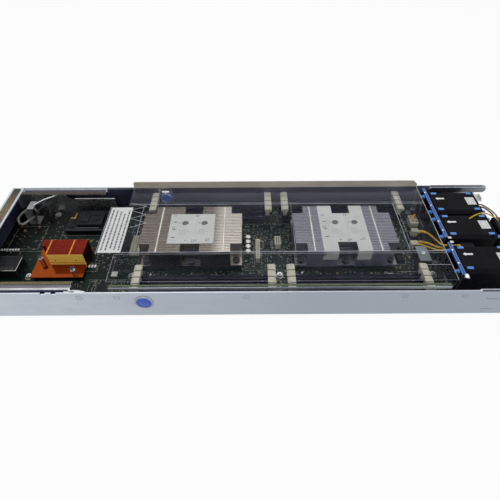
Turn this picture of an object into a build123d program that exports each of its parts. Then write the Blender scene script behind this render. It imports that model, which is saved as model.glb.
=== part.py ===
from build123d import *
import math
import os

# Half-width server node on its steel sled.
# +X points to the fan end, +Y to the far side wall and +Z up.
# The origin is the centre of the sled's footprint, at the underside of the tray floor.

# Clearances
seat_gap = 0.3
slide_gap = 0.06
press_gap = 0.05

# Lengths along the sled, from the rear end wall to the fan end
rear_bay_length = 183.0
cooler_length = 118.0
cooler_spacing = 62.0
duct_to_cage = 55.0
cage_to_fan = 2.8
fan_length = 56.0
fan_tail = 26.0

# Widths across the sled, from the near wall's outer face to the far wall's
near_margin = 14.4
slot_pitch = 9.2
slots_per_bank = 4
near_duct_gap = 17.0
cooler_width = 78.0
far_duct_gap = 5.2
far_margin = 5.2

# Tray
sheet = 1.2
wall_height = 40.4
bend_radius = 2.0
wall_cut_back = 13.0
end_rail_height = 10.4
end_rail_length = 76.0
end_rail_thickness = 2.4
end_flange_width = 15.0
end_slot_height = 3.0
end_slot_width = 20.0
end_slot_pitch = 26.0
end_slot_count = 6
end_slot_rows = 3
wall_slot_length = 46.0
wall_slot_height = 2.2
wall_slot_from_end = 6.0
wall_slot_upper_z = 26.6
wall_slot_lower_z = 9.4
edge_notch_length = 5.0
edge_notch_depth = 2.2
edge_notch_near = 96.0
edge_notch_pitch = 11.0

# Board
standoff_height = 5.2
standoff_radius = 3.0
board_thickness = 1.6
board_wall_gap = 1.3
board_end_gap = 1.0
screw_head_radius = 2.9
screw_head_height = 1.7
screw_shank_radius = 1.5
board_screw_inset = 5.0

# Processor, socket and cooler
processor_length = 56.0
processor_width = 45.0
processor_height = 4.2
socket_length = 78.0
socket_width = 58.0
socket_height = 3.4
cooler_plate_thickness = 3.0
cooler_height = 26.0
fin_thickness = 0.45
fin_pitch = 2.6
fin_lip_gap = 0.6
fin_lip_thickness = 0.45
corner_notch = 13.0
middle_notch_length = 22.0
middle_notch_depth = 14.0
middle_step_width = 5.0
middle_step_drop = 8.0
cooler_screw_radius = 4.2
cooler_screw_head = 4.0
cooler_shank_radius = 2.0
cooler_post_radius = 3.6
cooler_post_height = 2.0

# Memory sockets and latches
bank_past_cooler = 28.0
rear_bank_offset = 18.5
front_bank_offset = 7.0
slot_width = 1.6
slot_depth = 4.6
slot_body_width = 6.4
slot_body_height = 7.2
tower_length = 7.0
tower_height = 13.0
latch_width = 4.4
latch_pad_width = 7.6
latch_pad_length = 8.6
latch_pad_thickness = 4.0
latch_pad_overhang = 2.7
latch_height = 24.0
latch_stem = 4.6
latch_pivot_height = 4.6
latch_foot_radius = 2.6

# Chipset cooler, placed from the rear wall and the sled's centre line
chipset_from_rear = 89.0
chipset_y = -20.5
chipset_plate_length = 60.0
chipset_plate_width = 45.0
chipset_plate_thickness = 2.0
chipset_chip_size = 30.0
chipset_chip_height = 3.0
chipset_stack_length = 52.0
chipset_stack_width = 26.5
chipset_stack_height = 17.0
chipset_fin_pitch = 1.9
chipset_cut_length = 10.0
chipset_cut_width = 15.0
push_pin_radius = 1.5
push_pin_collar_radius = 2.6
push_pin_height = 12.0

# Rear rim, gasket and brackets
rim_height = 39.0
rim_web_inset = 4.0
rim_flange_width = 11.4
rim_length = 124.0
hook_length = 17.0
hook_root = 5.0
hook_shoulder = 9.0
hook_tab_length = 1.6
hook_tab_width = 2.4
hook_tab_rise = 1.4
gasket_thickness = 1.0
gasket_inset = 3.4
rim_gasket_width = 3.4
rim_gasket_inset = 0.6
far_bracket_from_rear = 24.0
far_bracket_length = 109.0
far_bracket_inset = 9.4
far_bracket_low = 29.0
far_bracket_below_rim = 3.0
far_bracket_high_length = 42.0
far_bracket_ramp = 14.0
corner_tab_x = 23.0
corner_tab_y = 52.0
corner_tab_width = 15.0
corner_tab_length = 13.0
corner_tab_height = 34.0

# Modules in the rear bay
cage_length = 42.0
cage_width = 22.5
cage_height = 12.5
cage_y = -28.0
low_card_from_rear = 76.0
low_card_length = 55.0
low_card_width = 38.0
low_card_y = 52.0
low_card_lift = 4.0
low_card_thickness = 1.6
low_card_block_height = 5.0

# Air shroud
shroud_top_z = 41.4
shroud_sheet = 0.8
shroud_rear_overhang = 23.0
shroud_front_overhang = 47.0
shroud_near_inset = 8.0
shroud_far_inset = 2.6
shroud_far_rise = 9.0
shroud_far_drop = 4.0
shroud_near_drop = 3.0
shroud_near_step = 6.0
duct_wall_gap = 2.4
shroud_corner_cut = 7.0
tongue_length = 21.0
tongue_from = -34.0
tongue_to = 47.0
rivet_radius = 2.2
rivet_height = 1.2

# Fans
fan_size = 40.0
fan_bore_radius = 18.7
fan_corner_radius = 2.5
fan_flange = 5.0
fan_waist_chamfer = 5.0
fan_pair_gap = 3.5
cable_gap = 12.5
far_fan_inset = 13.5
fan_hub_radius = 9.2
fan_tip_gap = 0.7
fan_blade_count = 5
fan_blade_thickness = 1.2
fan_blade_chord = 15.0
blade_root_share = 0.86
blade_root_angle = 42.0
blade_tip_angle = 62.0
stator_thickness = 5.0
stator_arm_width = 2.4
stator_arm_count = 4
rotor_end_gap = 1.2
shaft_radius = 1.5
rubber_radius = 1.7
rubber_head_radius = 2.4
rubber_inset = 5.0
rubber_tab_length = 6.5
rubber_tab_width = 3.0
rubber_tab_rise = 0.4
rubber_tail = 5.2
rubber_head_length = 1.6

# Fan cages and their strips
cage_plate_top = 39.6
cage_side_margin = 7.0
strip_width = 3.4
strip_height = 2.0
cage_foot_length = 8.0

# Release buttons
button_from_bay = 16.5
button_z = 24.5
button_radius = 8.0
button_flange_radius = 9.0
button_flange_thickness = 0.8
button_face_setback = 0.4
ring_radius = 10.2
ring_rise = 0.9
ring_depth = 1.2
ring_wall = 0.9
leaf_width = 9.0
leaf_thickness = 0.4
leaf_foot_height = 4.0
leaf_foot_top = 38.8

# Wires and their connectors
wire_radius = 0.9
wire_pitch = 2.3
wire_arc_share = 0.45
# Each route point is given from the plug, from the cage and from the cable gap's middle line.
far_wire_lead = 6.0
far_wire_rise = (2.7, 9.2, 14.2, 17.2, 17.6)
far_wire_drift = (1.0, 14.5)
far_wire_from_cage = (5.5, 4.5, 2.5)
far_wire_across = (15.8, 3.6, 2.8)
far_inner_lead = 4.9
far_inner_drift = (3.6, 14.9)
far_inner_from_cage = (7.8, 6.8, 3.8)
far_inner_across = (15.2, 1.3, 0.4)
near_wire_lead = 5.5
near_wire_rise = (2.2, 7.7, 12.4, 13.0)
near_wire_drift = 0.1
near_wire_from_cage = (9.0, 1.4)
near_wire_across = (14.8, 2.4, 1.0)
near_inner_lead = 4.6
near_inner_drift = 2.1
near_inner_from_cage = (11.2, 3.0)
near_inner_across = (13.2, 0.1, -1.4)
far_plug_from_cage = 22.0
far_plug_y_offset = 18.0
near_plug_from_cage = 29.0
near_plug_y_offset = 4.0
far_plug_length = 8.0
far_plug_width = 6.0
near_plug_length = 8.0
near_plug_width = 7.0
plug_height = 8.0
plug_exit_height = 4.8
cable_block_length = 15.0
cable_block_width = 10.0
cable_block_height = 15.0
cable_block_lift = 18.0

# Loose parts on the board
can_radius = 3.2
can_height = 8.0
can_count = 4
can_pitch = 8.0
choke_size = 8.5
choke_height = 5.0
choke_count = 6
choke_pitch = 10.5
chip_height = 2.0
large_chip = (14.0, 14.0)
large_chip_from_rear = 137.25
large_chip_y = -55.0
small_chip = (8.0, 8.0)
small_chip_from_rear = 155.25
small_chip_y = -51.0
middle_chip = (8.0, 14.0)
power_module = (14.0, 24.0)
power_module_height = 12.0
power_module_from_cage = 22.0
power_module_y_offset = 26.5
strip_connector = (5.0, 32.0)
strip_connector_offset = -12.0
box_connector = (7.0, 14.0)
box_connector_offset = 12.5
header_connector = (15.0, 5.0)
header_from_rear = 142.74

# Derived frame
plate_gap = sheet + cage_to_fan
sled_length = (rear_bay_length + 2 * cooler_length + cooler_spacing + duct_to_cage + plate_gap
               + fan_length + fan_tail)
bank_width = (slots_per_bank - 1) * slot_pitch
sled_width = near_margin + 2 * bank_width + near_duct_gap + cooler_width + far_duct_gap + far_margin
rear_x = -sled_length / 2
fan_end_x = sled_length / 2
near_y = -sled_width / 2
far_y = sled_width / 2
near_inner_y = near_y + sheet
far_inner_y = far_y - sheet
floor_z = sheet
board_bottom_z = floor_z + standoff_height
board_z = board_bottom_z + board_thickness
rear_cooler_x = rear_x + rear_bay_length + cooler_length / 2
front_cooler_x = rear_cooler_x + cooler_length + cooler_spacing
cooler_y = near_y + near_margin + bank_width + near_duct_gap + cooler_width / 2
cage_x = front_cooler_x + cooler_length / 2 + duct_to_cage
fan_x = cage_x + plate_gap
far_fan_y = far_y - far_fan_inset - fan_size / 2
middle_fan_y = far_fan_y - fan_size - fan_pair_gap
near_fan_y = middle_fan_y - fan_size - cable_gap
fan_z = floor_z + fan_size / 2
wall_end_x = fan_end_x - wall_cut_back
button_x = rear_x + rear_bay_length + button_from_bay
ring_sleeve_radius = button_radius + ring_wall


def span(x_from, x_to, y_from, y_to, z_from, z_to):
    centre = ((x_from + x_to) / 2, (y_from + y_to) / 2, (z_from + z_to) / 2)
    return Pos(*centre) * Box(abs(x_to - x_from), abs(y_to - y_from), abs(z_to - z_from))


def upright(radius, height, x, y, z):
    return Pos(x, y, z + height / 2) * Cylinder(radius, height)


def along_x(radius, length, x, y, z):
    return Pos(x + length / 2, y, z) * Rot(0, 90, 0) * Cylinder(radius, length)


def along_y(radius, length, x, y, z):
    return Pos(x, y + length / 2, z) * Rot(90, 0, 0) * Cylinder(radius, length)


def plan_face(points):
    return make_face(Polyline(*points, close=True))


def upright_prism(points, z_from, z_to):
    return Pos(0, 0, z_from) * extrude(plan_face(points), z_to - z_from)


def side_prism(points, y_from, y_to):
    # The points are X and Z pairs, and the prism runs along Y.
    face = Plane(origin=(0, y_to, 0), x_dir=(1, 0, 0), z_dir=(0, -1, 0)) * plan_face(points)
    return extrude(face, y_to - y_from)


def end_prism(points, x_from, x_to):
    # The points are Y and Z pairs, and the prism runs along X.
    face = Plane(origin=(x_from, 0, 0), x_dir=(0, 1, 0), z_dir=(1, 0, 0)) * plan_face(points)
    return extrude(face, x_to - x_from)


def save(name, *solids):
    shape = solids[0] if len(solids) == 1 else Compound(children=list(solids))
    export_step(shape, f"parts/{name}.step")


def group(*solids):
    flat = []
    for solid in solids:
        flat.extend(solid.solids())
    return flat


# Tray: one bent sheet with an end wall, side walls and rounded rail ends
def make_tray():
    outer = span(rear_x, fan_end_x, near_y, far_y, 0, wall_height)
    bottom_edges = outer.edges().filter_by(Axis.X).group_by(Axis.Z)[0]
    outer = fillet(bottom_edges, bend_radius)
    inner = span(rear_x + sheet, fan_end_x + sheet, near_inner_y, far_inner_y, floor_z, 2 * wall_height)
    inner_edges = inner.edges().filter_by(Axis.X).group_by(Axis.Z)[0]
    inner = fillet(inner_edges, bend_radius - sheet)
    tray = outer - inner
    rail_z = wall_height - end_rail_height
    tray -= span(wall_end_x, fan_end_x + sheet, near_y - sheet, far_y + sheet, -sheet, rail_z)
    rail_radius = end_rail_height / 2 - press_gap
    tip_edges = tray.edges().filter_by(Axis.Y).group_by(Axis.X)[-1]
    tray = fillet(tip_edges, rail_radius)
    flange = span(rear_x, rear_x + end_flange_width, near_y, far_y, wall_height - sheet, wall_height)
    tray += flange
    rail_x = fan_end_x - end_rail_length
    for face_y, inward in ((near_inner_y, 1), (far_inner_y, -1)):
        rib = span(rail_x, fan_end_x - sheet, face_y, face_y + inward * end_rail_thickness,
                   rail_z + sheet, wall_height - sheet)
        rib_radius = (end_rail_height - 2 * sheet) / 2 - press_gap
        tray += fillet(rib.edges().filter_by(Axis.Y), rib_radius)
        hole_y = face_y - 2 * sheet
        tray -= along_y(ring_sleeve_radius + press_gap, 4 * sheet, button_x, hole_y, button_z)
    for index in range(2):
        notch_x = rear_x + edge_notch_near + index * edge_notch_pitch
        tray -= span(notch_x, notch_x + edge_notch_length, near_y - sheet, near_inner_y + sheet,
                     wall_height - edge_notch_depth, wall_height + sheet)
    for slot_z in (wall_slot_upper_z, wall_slot_lower_z):
        slot_end = wall_end_x - wall_slot_from_end
        slot = span(slot_end - wall_slot_length, slot_end, near_y - sheet, near_inner_y + sheet,
                    slot_z - wall_slot_height / 2, slot_z + wall_slot_height / 2)
        tray -= slot
    slot_row_rise = 2 * end_slot_height
    for row in range(end_slot_rows):
        for column in range(end_slot_count):
            slot_y = (column - (end_slot_count - 1) / 2) * end_slot_pitch
            slot_z = wall_height / 2 + (row - (end_slot_rows - 1) / 2) * slot_row_rise
            tray -= span(rear_x - sheet, rear_x + 2 * sheet,
                         slot_y - end_slot_width / 2, slot_y + end_slot_width / 2,
                         slot_z - end_slot_height / 2, slot_z + end_slot_height / 2)
    return tray


# Rear rim: a bent inner frame round the rear bay, ending in a pointed hook
rim_web_y = near_inner_y + rim_web_inset
rim_start_x = rear_x + end_flange_width
rim_end_x = rear_x + rim_length
rim_flange_y = rim_web_y + rim_flange_width
far_rim_y = far_inner_y - rim_flange_width


def make_rear_rim():
    web = span(rim_start_x, rim_end_x, rim_web_y - sheet, rim_web_y, floor_z, rim_height)
    flange = span(rim_start_x, rim_end_x, rim_web_y, rim_flange_y, rim_height - sheet, rim_height)
    near_part = web + flange
    crest = near_part.edges().filter_by(Axis.X).group_by(Axis.Z)[-1].sort_by(Axis.Y)[0]
    near_part = fillet(crest, sheet / 2)
    outer_y = near_inner_y + seat_gap
    tip_y = (outer_y + rim_web_y) / 2
    hook_points = [
        (rim_end_x - hook_root, outer_y),
        (rim_end_x + hook_length - hook_root, outer_y),
        (rim_end_x + hook_length, tip_y),
        (rim_end_x + hook_shoulder, rim_web_y),
        (rim_end_x - hook_root, rim_web_y),
    ]
    hook = upright_prism(hook_points, rim_height - sheet, rim_height)
    hook += span(rim_end_x, rim_end_x + hook_tab_length, rim_web_y - hook_tab_width, rim_web_y,
                 rim_height - sheet, rim_height + hook_tab_rise)
    return near_part + hook


def make_far_rim():
    flange = span(rim_start_x, rim_end_x, far_rim_y, far_inner_y, rim_height - sheet, rim_height)
    lip = span(rim_start_x, rim_end_x, far_inner_y - sheet, far_inner_y, rim_height - 4 * sheet, rim_height)
    return flange + lip


def make_gasket():
    top_z = rim_height + gasket_thickness
    across = span(rear_x + gasket_inset, rear_x + end_flange_width - gasket_inset, near_y + gasket_inset,
                  far_y - gasket_inset, wall_height, wall_height + gasket_thickness)
    near_edge = rim_flange_y - rim_gasket_inset
    near_strip = span(rim_start_x + seat_gap, rim_end_x, near_edge - rim_gasket_width, near_edge,
                      rim_height, top_z)
    far_edge = far_rim_y + rim_gasket_inset
    far_strip = span(rim_start_x + seat_gap, rim_end_x, far_edge, far_edge + rim_gasket_width,
                     rim_height, top_z)
    return [across, near_strip, far_strip]


# Far bracket: a plate along the far wall whose top edge drops in a smooth S
far_bracket_y = far_y - far_bracket_inset


def make_far_bracket():
    start_x = rear_x + far_bracket_from_rear
    high_end = start_x + far_bracket_high_length
    low_start = high_end + far_bracket_ramp
    end_x = start_x + far_bracket_length
    far_bracket_high = rim_height - far_bracket_below_rim
    top_line = Line((start_x, far_bracket_high), (high_end, far_bracket_high))
    ramp = Bezier((high_end, far_bracket_high), (high_end + far_bracket_ramp / 2, far_bracket_high),
                  (low_start - far_bracket_ramp / 2, far_bracket_low), (low_start, far_bracket_low))
    low_line = Line((low_start, far_bracket_low), (end_x, far_bracket_low))
    closing = Polyline((end_x, far_bracket_low), (end_x, board_z), (start_x, board_z),
                       (start_x, far_bracket_high))
    outline = make_face([top_line, ramp, low_line, closing])
    face = Plane(origin=(0, far_bracket_y, 0), x_dir=(1, 0, 0), z_dir=(0, -1, 0)) * outline
    plate = extrude(face, sheet)
    foot = span(start_x, end_x, far_bracket_y, far_bracket_y + 3 * sheet, board_z, board_z + sheet)
    return plate + foot


# Corner bracket: a bent tab that stands on the board in the far rear corner
def make_corner_bracket():
    start_x = rear_x + corner_tab_x
    points = [
        (start_x, board_z),
        (start_x + corner_tab_length, board_z),
        (start_x + corner_tab_length, board_z + sheet),
        (start_x + sheet, board_z + sheet),
        (start_x + sheet, corner_tab_height - corner_tab_length / 2),
        (start_x + corner_tab_length / 2, corner_tab_height - sheet),
        (start_x + corner_tab_length, corner_tab_height - sheet),
        (start_x + corner_tab_length, corner_tab_height),
        (start_x + corner_tab_length / 2 - sheet, corner_tab_height),
        (start_x, corner_tab_height - corner_tab_length / 2),
    ]
    return side_prism(points, corner_tab_y, corner_tab_y + corner_tab_width)


# Mainboard with its standoffs and screws
board_start_x = rear_x + sheet + board_end_gap
board_end_x = cage_x - cage_foot_length - board_end_gap
board_near_y = rim_web_y + seat_gap
board_far_y = far_inner_y - board_wall_gap


def fastener_places():
    places = []
    banks_middle = (rear_cooler_x + rear_bank_offset + front_cooler_x + front_bank_offset) / 2
    columns = (board_start_x + cage_length + 2 * board_screw_inset,
               rear_cooler_x - cooler_length / 2 - 2 * board_screw_inset,
               banks_middle,
               board_end_x - board_screw_inset)
    for column_x in columns:
        places.append((column_x, cooler_y - cooler_width / 2 - near_duct_gap / 2))
        places.append((column_x, far_bracket_y - board_screw_inset - screw_head_radius))
    return places


def make_mainboard():
    board = span(board_start_x, board_end_x, board_near_y, board_far_y, board_bottom_z, board_z)
    for x, y in fastener_places():
        board -= upright(screw_shank_radius + slide_gap, 2 * board_thickness, x, y, board_bottom_z - sheet / 2)
    return board


def make_standoffs():
    return [Pos(x, y, floor_z) * extrude(RegularPolygon(standoff_radius, 6), standoff_height)
            for x, y in fastener_places()]


def make_board_screws():
    screws = []
    for x, y in fastener_places():
        head = upright(screw_head_radius, screw_head_height, x, y, board_z)
        shank = upright(screw_shank_radius, board_thickness, x, y, board_bottom_z)
        screws.append(head + shank)
    return screws


# Fin stack: folded fins side by side, each with a lip that reaches for its neighbour
def fin_stack(x_from, x_to, y_from, y_to, z_from, z_to, pitch):
    count = int((y_to - y_from) / pitch)
    margin = (y_to - y_from - count * pitch) / 2
    floor_top = z_from + fin_lip_thickness
    lip_bottom = z_to - fin_lip_thickness
    points = [(y_from + margin, z_from)]
    for index in range(count):
        web_y = y_from + margin + index * pitch
        next_y = web_y + pitch
        lip_y = next_y - fin_lip_gap
        points.extend([(web_y, z_to), (lip_y, z_to), (lip_y, lip_bottom),
                       (web_y + fin_thickness, lip_bottom), (web_y + fin_thickness, floor_top)])
        if index < count - 1:
            points.append((next_y, floor_top))
    points.append((y_from + margin + count * pitch - fin_lip_gap, floor_top))
    points.append((y_from + margin + count * pitch - fin_lip_gap, z_from))
    return end_prism(points, x_from, x_to)


processor_top_z = board_z + socket_height + processor_height / 4
cooler_plate_top_z = processor_top_z + cooler_plate_thickness
cooler_top_z = processor_top_z + cooler_height


def make_cooler_fins(x):
    half_length = cooler_length / 2
    half_width = cooler_width / 2
    stack = fin_stack(x - half_length, x + half_length, cooler_y - half_width, cooler_y + half_width,
                      cooler_plate_top_z, cooler_top_z, fin_pitch)
    for side_x in (-1, 1):
        for side_y in (-1, 1):
            corner_x = x + side_x * (half_length - corner_notch / 2)
            corner_y = cooler_y + side_y * (half_width - corner_notch / 2)
            corner_box = Box(corner_notch + sheet, corner_notch + sheet, 2 * cooler_height)
            stack -= Pos(corner_x + side_x * sheet / 2, corner_y + side_y * sheet / 2,
                         cooler_top_z) * corner_box
    for side_y in (-1, 1):
        pocket_depth = middle_notch_depth - middle_step_width
        pocket_box = Box(middle_notch_length, pocket_depth + sheet, 2 * cooler_height)
        pocket_y = cooler_y + side_y * (half_width - pocket_depth / 2 + sheet / 2)
        stack -= Pos(x, pocket_y, cooler_top_z) * pocket_box
        step_box = Box(middle_notch_length, middle_step_width, 2 * middle_step_drop)
        step_y = cooler_y + side_y * (half_width - middle_notch_depth + middle_step_width / 2)
        stack -= Pos(x, step_y, cooler_top_z) * step_box
    return stack


def cooler_screw_places(x):
    reach_x = cooler_length / 2 - corner_notch / 2
    reach_y = cooler_width / 2 - corner_notch / 2
    corners = [(x + side_x * reach_x, cooler_y + side_y * reach_y)
               for side_x in (-1, 1) for side_y in (-1, 1)]
    middle_reach = (cooler_width - middle_notch_depth + middle_step_width) / 2
    middles = [(x, cooler_y + side_y * middle_reach) for side_y in (-1, 1)]
    return corners + middles


def make_cooler_plate(x):
    plate = span(x - cooler_length / 2, x + cooler_length / 2, cooler_y - cooler_width / 2,
                 cooler_y + cooler_width / 2, processor_top_z, cooler_plate_top_z)
    for screw_x, screw_y in cooler_screw_places(x):
        plate -= upright(cooler_shank_radius + slide_gap, 2 * cooler_plate_thickness,
                         screw_x, screw_y, processor_top_z - sheet)
    return plate


def make_cooler_screws(x):
    screws = []
    post_top = board_z + cooler_post_height
    for screw_x, screw_y in cooler_screw_places(x):
        head = upright(cooler_screw_radius, cooler_screw_head, screw_x, screw_y, cooler_plate_top_z)
        shank = upright(cooler_shank_radius, cooler_plate_top_z - post_top, screw_x, screw_y, post_top)
        screws.append(head + shank)
    return screws


def make_processor(x):
    half_length = processor_length / 2
    half_width = processor_width / 2
    return span(x - half_length, x + half_length, cooler_y - half_width, cooler_y + half_width,
                processor_top_z - processor_height, processor_top_z)


def make_processor_socket(x):
    frame = span(x - socket_length / 2, x + socket_length / 2, cooler_y - socket_width / 2,
                 cooler_y + socket_width / 2, board_z, board_z + socket_height)
    pocket_length = processor_length / 2 + press_gap
    pocket_width = processor_width / 2 + press_gap
    frame -= span(x - pocket_length, x + pocket_length, cooler_y - pocket_width, cooler_y + pocket_width,
                  processor_top_z - processor_height, 2 * board_z)
    posts = [upright(cooler_post_radius, cooler_post_height, post_x, post_y, board_z)
             for post_x, post_y in cooler_screw_places(x)]
    return [frame] + posts


# Memory sockets: long slotted bodies with a forked tower at each end
def bank_centre(cooler_x, offset):
    return cooler_x + offset


near_bank_y = near_y + near_margin
far_bank_y = cooler_y + cooler_width / 2 + far_duct_gap


def make_memory_socket(x, y):
    half_span = (cooler_length + bank_past_cooler) / 2
    body_half = half_span + tower_length / 2
    body_top = board_z + slot_body_height
    body = span(x - body_half, x + body_half, y - slot_body_width / 2, y + slot_body_width / 2,
                board_z, body_top)
    slot_half = half_span - tower_length / 2
    body -= span(x - slot_half, x + slot_half, y - slot_width / 2, y + slot_width / 2,
                 body_top - slot_depth, body_top + sheet)
    for side in (-1, 1):
        tower_x = x + side * half_span
        tower = Box(tower_length, slot_body_width, tower_height)
        body += Pos(tower_x, y, board_z + tower_height / 2) * tower
        fork_width = latch_width + 2 * seat_gap
        fork = Box(2 * tower_length, fork_width, tower_height)
        fork_x = tower_x + side * (tower_length - latch_stem / 2 - 2 * seat_gap)
        body -= Pos(fork_x, y, board_z + sheet + tower_height / 2) * fork
    return body


def make_memory_bank(x, first_y):
    return [make_memory_socket(x, first_y + index * slot_pitch) for index in range(slots_per_bank)]


# Latch: a rounded foot in the fork, a stem and a wide thumb pad that leans outwards
def make_latch(x, y, side):
    pivot_z = board_z + latch_pivot_height
    stem_top = board_z + latch_height - latch_pad_thickness
    stem_half = latch_stem / 2
    stem = span(x - stem_half, x + stem_half, y - latch_width / 2, y + latch_width / 2, pivot_z, stem_top)
    foot = along_y(latch_foot_radius, latch_width, x, y - latch_width / 2, pivot_z)
    pad_to = x + side * (stem_half + latch_pad_overhang)
    pad_from = pad_to - side * latch_pad_length
    crown_drop = latch_pad_thickness / 3
    top_z = board_z + latch_height
    pad_points = [(pad_from, stem_top), (pad_from, top_z),
                  (pad_to - side * stem_half, top_z), (pad_to, top_z - crown_drop), (pad_to, stem_top)]
    pad = side_prism(pad_points, y - latch_pad_width / 2, y + latch_pad_width / 2)
    return stem + foot + pad


def make_latch_group(x, first_y, side):
    latch_x = x + side * (cooler_length + bank_past_cooler) / 2
    return [make_latch(latch_x, first_y + index * slot_pitch, side) for index in range(slots_per_bank)]


# Chipset cooler on its chip
chipset_x = rear_x + chipset_from_rear
chipset_plate_z = board_z + chipset_chip_height
chipset_stack_z = chipset_plate_z + chipset_plate_thickness
chipset_far_y = chipset_y + chipset_plate_width / 2
chipset_stack_x = chipset_x + chipset_plate_length / 2 - chipset_stack_length


def chipset_pin_places():
    first = (chipset_x - chipset_plate_length / 2 + 2 * push_pin_collar_radius + push_pin_radius,
             chipset_far_y - chipset_stack_width + chipset_cut_width / 3)
    second = (chipset_x + chipset_plate_length / 2 - 4 * push_pin_collar_radius,
              chipset_y - chipset_plate_width / 2 + 2 * push_pin_collar_radius)
    return [first, second]


def make_chipset_plate():
    plate = span(chipset_x - chipset_plate_length / 2, chipset_x + chipset_plate_length / 2,
                 chipset_y - chipset_plate_width / 2, chipset_far_y, chipset_plate_z, chipset_stack_z)
    for x, y in chipset_pin_places():
        plate -= upright(push_pin_radius + slide_gap, 3 * chipset_plate_thickness, x, y,
                         chipset_plate_z - chipset_plate_thickness)
    return plate


def make_chipset_fins():
    stack_near_y = chipset_far_y - chipset_stack_width
    stack_end_x = chipset_stack_x + chipset_stack_length
    stack = fin_stack(chipset_stack_x, stack_end_x, stack_near_y, chipset_far_y,
                      chipset_stack_z, chipset_stack_z + chipset_stack_height, chipset_fin_pitch)
    cut_points = [
        (chipset_stack_x - sheet, stack_near_y - sheet),
        (chipset_stack_x + chipset_cut_length, stack_near_y - sheet),
        (chipset_stack_x + chipset_cut_length, stack_near_y + chipset_cut_width / 3),
        (chipset_stack_x + chipset_cut_length / 2, stack_near_y + chipset_cut_width),
        (chipset_stack_x - sheet, stack_near_y + chipset_cut_width),
    ]
    return stack - upright_prism(cut_points, chipset_stack_z - sheet, 2 * wall_height)


def make_chipset_pins():
    pins = []
    for x, y in chipset_pin_places():
        shank = upright(push_pin_radius, chipset_chip_height + push_pin_height, x, y, board_z)
        collar = upright(push_pin_collar_radius, push_pin_height / 2, x, y, chipset_stack_z)
        pins.append(shank + collar)
    return pins


# Connector cage at the rear wall and the low card beside the far bracket
def make_io_cage():
    start_x = rear_x + sheet + board_end_gap
    top_z = board_z + cage_height
    cage = span(start_x, start_x + cage_length, cage_y - cage_width / 2, cage_y + cage_width / 2,
                board_z, top_z)
    mouth = span(start_x - sheet, start_x + cage_length - 2 * sheet, cage_y - cage_width / 2 + sheet,
                 cage_y + cage_width / 2 - sheet, board_z + sheet, top_z - sheet)
    return cage - mouth


def make_low_card():
    start_x = rear_x + low_card_from_rear
    end_x = start_x + low_card_length
    from_y = low_card_y - low_card_width / 2
    to_y = low_card_y + low_card_width / 2
    card_z = board_z + low_card_lift
    card_top = card_z + low_card_thickness
    card = span(start_x, end_x, from_y, to_y, card_z, card_top)
    foot = span(end_x - low_card_length / 6, end_x, from_y, to_y, board_z, card_z)
    rest = span(start_x, start_x + low_card_length / 10, from_y, to_y, board_z, card_z)
    block = span(start_x + low_card_length / 4, end_x - low_card_length / 6, from_y + low_card_width / 6,
                 to_y - low_card_width / 6, card_top, card_top + low_card_block_height)
    return card + foot + rest + block


# Clear air shroud: top sheet, duct walls, near step, far upstand and the label tongue
shroud_start_x = rear_cooler_x - cooler_length / 2 - shroud_rear_overhang
shroud_end_x = front_cooler_x + cooler_length / 2 + shroud_front_overhang
shroud_near_y = near_y + shroud_near_inset
shroud_far_y = far_y - shroud_far_inset
shroud_under_z = shroud_top_z - shroud_sheet
near_duct_y = cooler_y - cooler_width / 2 - duct_wall_gap - shroud_sheet
far_duct_y = cooler_y + cooler_width / 2 + seat_gap


def make_shroud():
    step_y = shroud_near_y + shroud_near_step
    top_points = [
        (shroud_start_x, step_y),
        (shroud_end_x, step_y),
        (shroud_end_x, shroud_far_y - shroud_corner_cut),
        (shroud_end_x - shroud_corner_cut, shroud_far_y),
        (shroud_start_x, shroud_far_y),
        (shroud_start_x, tongue_to),
        (shroud_start_x - tongue_length, tongue_to),
        (shroud_start_x - tongue_length, tongue_from),
        (shroud_start_x, tongue_from),
    ]
    shroud = upright_prism(top_points, shroud_under_z, shroud_top_z)
    for wall_y in (near_duct_y, far_duct_y):
        shroud += span(shroud_start_x + shroud_sheet, shroud_end_x, wall_y, wall_y + shroud_sheet,
                       board_z, shroud_under_z)
    step_z = shroud_under_z - shroud_near_drop
    near_points = [
        (step_y, shroud_top_z),
        (step_y, step_z + shroud_sheet),
        (shroud_near_y, step_z + shroud_sheet),
        (shroud_near_y, step_z - shroud_near_drop),
        (shroud_near_y + shroud_sheet, step_z - shroud_near_drop),
        (shroud_near_y + shroud_sheet, step_z),
        (step_y + shroud_sheet, step_z),
        (step_y + shroud_sheet, shroud_top_z),
    ]
    near_edge = end_prism(near_points, shroud_start_x, shroud_end_x)
    end_cut = [
        (shroud_end_x + sheet, shroud_near_y - sheet),
        (shroud_end_x - shroud_near_step, shroud_near_y - sheet),
        (shroud_end_x, step_y),
        (shroud_end_x + sheet, step_y),
    ]
    shroud += near_edge - upright_prism(end_cut, 0, 2 * wall_height)
    rise_points = [
        (shroud_start_x, shroud_under_z - shroud_far_drop),
        (shroud_end_x - shroud_corner_cut, shroud_under_z - shroud_far_drop),
        (shroud_end_x - shroud_corner_cut, shroud_top_z + shroud_far_rise - shroud_corner_cut),
        (shroud_end_x - 2 * shroud_corner_cut, shroud_top_z + shroud_far_rise),
        (shroud_start_x, shroud_top_z + shroud_far_rise),
    ]
    shroud += side_prism(rise_points, shroud_far_y - shroud_sheet, shroud_far_y)
    return shroud


def rivet_places():
    near_row = near_duct_y - near_duct_gap / 3
    places = []
    for cooler_x in (rear_cooler_x, front_cooler_x):
        for side in (-1, 1):
            places.append((cooler_x + side * cooler_length / 4, near_row))
    return places


def make_shroud_rivets():
    return [upright(rivet_radius, rivet_height, x, y, shroud_top_z) for x, y in rivet_places()]


# Fan housing: two square frames back to back, a bore, and motor seats on four arms
def rubber_places(y):
    reach = fan_size / 2 - rubber_inset
    return [(y - reach, fan_z + reach), (y + reach, fan_z + reach)]


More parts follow.
